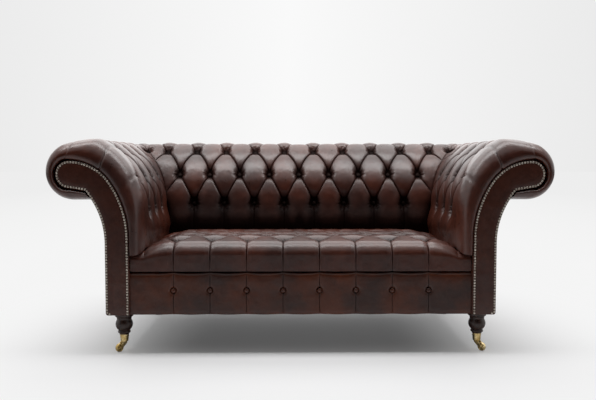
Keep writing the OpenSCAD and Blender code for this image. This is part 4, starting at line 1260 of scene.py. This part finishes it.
def leather(name, cool, warm, dark, clouds=(0.36, 0.64), roughness=(0.3, 0.38), gloss=0.35, wax_coat=0.05):
    """cool and warm brown in clouds; dark is what folds and pits go to, as dye and dust and as painted shade;
    gloss is the open leather's shine.
    """
    material, tree, shader = finish(name, Coat_Roughness=0.36)
    at = add(tree, "TexCoord", out="Object")
    depth, crease = mark(tree, "depth"), mark(tree, "crease")
    cloud = noise(tree, at, 1000 / CLOUD_MM, 4, Roughness=0.55)
    mottle = noise(tree, at, MOTTLE[0], 5, Roughness=0.6)
    colour = blend(tree, remap(tree, cloud, *clouds), srgb(cool), srgb(warm))
    colour = blend(tree, 1.0, colour, remap(tree, mottle, *MID, *MOTTLE[1:]), how="MULTIPLY")
    # folds, pits and creases go towards dark: dye and dust, and painted shade
    colour = blend(tree, remap(tree, depth, *DYE_AND_PAINTED_SHADE), colour, srgb(dark))
    colour = blend(tree, remap(tree, crease, *CREASE_PAINTED_SHADE), colour, srgb(dark))
    shine, coat = (remap(tree, depth, *SHINE, full, SHINE_LEFT * full) for full in (gloss, wax_coat))
    rough = calc(tree, "ADD", remap(tree, mottle, *MID, *roughness), remap(tree, depth, *MATT))
    sag = noise(tree, at, 24, 2)
    wrinkle = noise(tree, at, 1000 / CREASE_MM, 6, Roughness=0.62, Distortion=0.7)
    grain = add(tree, "TexVoronoi", {"Vector": at, "Scale": 1000 / GRAIN_MM, "Randomness": 1.0})
    normal = bumps(tree, (sag, 0.5, 0.004), (puckers(tree, at), 1, PUCKER_M), (wrinkle, 0.2, 0.0006),
                   (grain, 0.25, 0.0003))
    join(tree, shader, Base_Color=colour, Specular_IOR_Level=shine, Coat_Weight=coat, Roughness=rough,
         Normal=normal)
    return material


# %% [markdown]
# ## Brass, wood, timber and cloth
#
# The castors are cast brass, polished and clear lacquered; the nails are brass plated steel, dipped
# to an antique brown, which leaves only their domes bright; the brown of their rims is painted shade
# as well as patina. The legs are beech under black-brown lacquer. What the leather hides is sawn
# beech, spring steel, jute and a felted black cloth.

# %% Other finishes
# the nails' rims: antique patina, and painted shade that leaves only the middle of each dome bright
RIM_PATINA_AND_SHADE = "1a120c"
ALONG_GRAIN = 14        # wood's grain is this many times as long as wide
WAVES = 20              # a wave texture of scale 1 has this many waves in 2 pi


def brass(name, colour, dark, roughness, patch_mm):
    """Metal in two shades, the darker one in patches; brown where the piece's own mark called rim is high, as
    patina and as painted shade.
    """
    material, tree, shader = finish(name, Metallic=1.0)
    patch = noise(tree, add(tree, "TexCoord", out="Object"), 1000 / patch_mm, 4)
    tone_and_rim_shade = blend(tree, remap(tree, patch, 0.38, 0.66), srgb(colour), srgb(dark))
    tone_and_rim_shade = blend(tree, remap(tree, mark(tree, "rim"), 0.6, 0.95), tone_and_rim_shade, srgb(RIM_PATINA_AND_SHADE))
    join(tree, shader, Base_Color=tone_and_rim_shade, Roughness=remap(tree, patch, *MID, roughness, roughness + 0.14),
         Normal=bumps(tree, (patch, 0.2, 0.0004)))
    return material


def wood(name, light, dark, along, grain_mm, roughness, coat):
    """Grain runs along one axis: 0 is X, 1 is Y and 2 is Z."""
    material, tree, shader = finish(name, Coat_Weight=coat, Coat_Roughness=0.2)
    scale = [1000 / grain_mm] * 3
    scale[along] = 1000 / grain_mm / ALONG_GRAIN
    stretched = add(tree, "Mapping", {"Vector": add(tree, "TexCoord", out="Object"), "Scale": scale})
    grain = noise(tree, stretched, 1, 5, Roughness=0.6, Distortion=0.4)
    join(tree, shader, Base_Color=blend(tree, remap(tree, grain, 0.32, 0.68), srgb(light), srgb(dark)),
         Roughness=remap(tree, grain, *MID, roughness, roughness + 0.1),
         Normal=bumps(tree, (grain, 0.3, 0.0003)))
    return material


def cloth(name, light, dark, thread_mm, roughness=0.9):
    """Two sets of threads that cross: the wave of one set times the wave of the other."""
    material, tree, shader = finish(name, Roughness=roughness)
    at = add(tree, "TexCoord", out="Object")
    waves = {"Vector": at, "Scale": 2 * math.pi / (thread_mm * MM) / WAVES, "Distortion": 0.6}
    weave = calc(tree, "MULTIPLY", *(add(tree, "TexWave", waves, out="Fac", bands_direction=way)
                                     for way in ("X", "DIAGONAL")))
    join(tree, shader, Base_Color=blend(tree, weave, srgb(dark), srgb(light)),
         Normal=bumps(tree, (weave, 0.5, 0.0006)))
    return material


# cool and warm brown, and the near-black that folds and pits go to: dye and dust, and painted shade
HIDE = ("3a1d16", "4f2518", "050202")
DUST_AND_PAINTED_SHADE = "0c0504"        # the near-black that folds, seams and pits of the other hides go to: dust there, and painted shade
pad_leather = leather("waxed_hide_buttoned", *HIDE, roughness=(0.27, 0.35), gloss=0.58, wax_coat=0.18)
seat_leather = leather("waxed_hide_seat", *HIDE, roughness=(0.31, 0.39), gloss=0.5, wax_coat=0.14)
flat_leather = leather("waxed_hide_flat", "42241d", "4d281c", DUST_AND_PAINTED_SHADE)
border_leather = leather("waxed_hide_border", "3a221c", "572a17", DUST_AND_PAINTED_SHADE, clouds=(0.38, 0.6))
# The covered buttons are of the same hide; their far darker brown is painted shade from their deep pits.
shaded_button_leather = leather("waxed_hide_buttons_painted_shade", "180c09", "1d0e0a", DUST_AND_PAINTED_SHADE, roughness=(0.6, 0.7),
                         gloss=0.1, wax_coat=0.0)
finishes = {
    "leather": flat_leather,
    "nail_brass": brass("antiqued_brass", "d2c9bd", "978a7f", 0.3, 9),
    "castor_brass": brass("lacquered_cast_brass", "f0daa6", "c4a768", 0.2, 30),
    "leg_wood": wood("black_stained_beech", "361c12", "200f0a", 2, 7, 0.38, 0.08),
    "frame_timber": wood("sawn_beech", "c9a877", "a98552", 0, 9, 0.7, 0.0),
    "steel": brass("spring_steel", "8e9196", "5d5f63", 0.34, 20),
    "jute": cloth("woven_jute", "a88a5c", "6f5632", 2.2),
    "dust_cloth": cloth("felted_black_cloth", "1e1e1f", "121213", 1.5),
}

# %% Dress the frame
slots = {part["node"]: part["material_slot"] for part in frame["record"]["subparts"]}
for node, shown in frame["nodes"].items():
    shown.data.materials.clear()
    shown.data.materials.append(finishes[slots[node]])

for side in (-1, 1):
    arm_pad(side, pad_leather)
    facing(side, flat_leather)
    nails(side, finishes["nail_brass"])
    outside_arm(side, flat_leather)
    buttons(f"{hand(side)}_arm_buttons", arm_button_places(side), shaded_button_leather)
    front_leg(side, finishes["leg_wood"])
back_pad(pad_leather)
seat_pad(seat_leather)
front_border(border_leather)
outside_back(flat_leather)
dust_cover(finishes["dust_cloth"])
buttons("back_buttons", back_button_places(), shaded_button_leather)
buttons("seat_buttons", seat_button_places(), shaded_button_leather)
buttons("border_buttons", border_button_places(), border_leather)

# %% [markdown]
# ## Camera
#
# A lens of about 42 mm, level with the crest of the arms and turned a little down, stands nearly in
# front of the sofa's middle. Its height and distance make the arms' inner sides and the seat show.

# %% Camera
FOCAL_PX = 692
FRAME_W = 596
CAMERA = (-44, -2560, 730)      # beside the sofa's middle, in front of its arm fronts, above the floor
TILT, YAW = 3.3, 0.7            # degrees down, and to the right

camera_data = bpy.data.cameras.new("camera")
camera_data.sensor_width = 36
camera_data.lens = FOCAL_PX / FRAME_W * camera_data.sensor_width
camera_data.clip_end = 100
camera = bpy.data.objects.new("camera", camera_data)
camera.location = (CAMERA[0] * MM, (front_y + CAMERA[1]) * MM, CAMERA[2] * MM)
camera.rotation_euler = (math.radians(90 - TILT), 0, -math.radians(YAW))
bpy.context.scene.collection.objects.link(camera)
bpy.context.scene.camera = camera

# %% [markdown]
# ## Studio
#
# A long softbox hangs over and in front of the seat, as a photographer lights dark leather: it draws
# a soft band along every crest and leaves the folds dark. The room itself gives little light. The
# background is white only to rays that come from the camera or are mirrored, and a dark screen
# behind the camera, which the camera never sees, keeps the fronts from turning grey.

# %% Studio
ROOM_LIGHT = 0.08
BACKGROUND = (0.95, 0.83)               # behind the middle of the sofa and to the sides, dimmer there as painted shade
BACKGROUND_SIDE = 0.4                   # sine of the angle aside from which it has the second value
FLOOR_WHITE = (0.91, 0.85)              # of the far floor, in the middle and to the sides, dimmer there as painted shade
FLOOR_SIDE = (2, 6)                     # distances aside between which it changes
SHADOW_CORE = (0.35, 0.3, 0)            # half the size of the full shadow under the sofa, in metres
SHADOW_FADE = 1.1                       # the lit floor fades into the far floor over this distance
# share of the white far floor painted into the shadow under the sofa: painted light
SHADOW_LIFT = 0.09

scene = bpy.context.scene
scene.view_settings.view_transform = "Standard"
world = bpy.data.worlds.new("studio")
scene.world = world
world.use_nodes = True
tree = world.node_tree
seen, mirrored, through = (add(tree, "LightPath", out=f"Is {kind} Ray")
                           for kind in ("Camera", "Glossy", "Transmission"))
seen = calc(tree, "ADD", calc(tree, "ADD", seen, mirrored), through, use_clamp=True)
aside = add(tree, "SeparateXYZ", {0: add(tree, "TexCoord", out="Generated")}, out="X")
wall = remap(tree, calc(tree, "ABSOLUTE", aside), 0, BACKGROUND_SIDE, *BACKGROUND)
join(tree, tree.nodes["Background"], Strength=remap(tree, seen, 0, 1, ROOM_LIGHT, wall))
tree.nodes["Background"].inputs["Color"].default_value = (1, 1, 1, 1)


def softbox(name, location, target, size, power):
    light = bpy.data.lights.new(name, "AREA")
    light.shape = "RECTANGLE"
    light.size, light.size_y = size
    light.energy = power
    lamp = bpy.data.objects.new(name, light)
    lamp.location = location
    lamp.rotation_euler = (Vector(target) - Vector(location)).to_track_quat("-Z", "Y").to_euler()
    lamp.visible_camera = False
    scene.collection.objects.link(lamp)


def staged(name, points, material):
    mesh = bpy.data.meshes.new(name)
    mesh.from_pydata(points, [], [tuple(range(len(points)))])
    mesh.materials.append(material)
    piece = bpy.data.objects.new(name, mesh)
    scene.collection.objects.link(piece)
    return piece


softbox("overhead", (0, -0.4, 2.9), (0, -0.38, 0), (4.8, 0.8), 84)
softbox("overhead_rear", (0, 1.15, 2.9), (0, 0.6, 0), (4.8, 1.5), 46)
softbox("wall_glow", (0, 3.6, 2.6), (0, 0, 0.5), (6.0, 4.0), 70)

floor_paint, tree, shader = finish("matt_floor_paint", Roughness=0.9, Specular_IOR_Level=0.2)
shader.inputs["Base Color"].default_value = srgb("eeeeef")
at = add(tree, "TexCoord", out="Object")
folded = add(tree, "VectorMath", {0: at}, operation="ABSOLUTE")
outside = add(tree, "VectorMath", {0: folded, 1: SHADOW_CORE}, operation="SUBTRACT")
outside = add(tree, "VectorMath", {0: outside, 1: (0, 0, 0)}, operation="MAXIMUM")
away = add(tree, "VectorMath", {0: outside}, out="Value", operation="LENGTH")
fade = remap(tree, away, 0, SHADOW_FADE, SHADOW_LIFT, interpolation_type="SMOOTHSTEP")
far = remap(tree, add(tree, "SeparateXYZ", {0: folded}, out="X"), *FLOOR_SIDE, *FLOOR_WHITE)
white = add(tree, "Emission", {"Color": (1, 1, 1, 1), "Strength": far})
seen = add(tree, "LightPath", out="Is Camera Ray")
surface(tree, calc(tree, "MULTIPLY", fade, seen), shader.outputs[0], white)
staged("floor", [(-40, -40, 0), (40, -40, 0), (40, 40, 0), (-40, 40, 0)], floor_paint)

screen_cloth, tree, shader = finish("dark_screen", Roughness=1.0, Specular_IOR_Level=0.0)
shader.inputs["Base Color"].default_value = srgb("2a2726")
seen = add(tree, "LightPath", out="Is Camera Ray")
surface(tree, seen, shader.outputs[0], add(tree, "BsdfTransparent"))
staged("screen", [(-4.5, -3.6, 0.02), (4.5, -3.6, 0.02), (4.5, -3.6, 3.2), (-4.5, -3.6, 3.2)], screen_cloth)
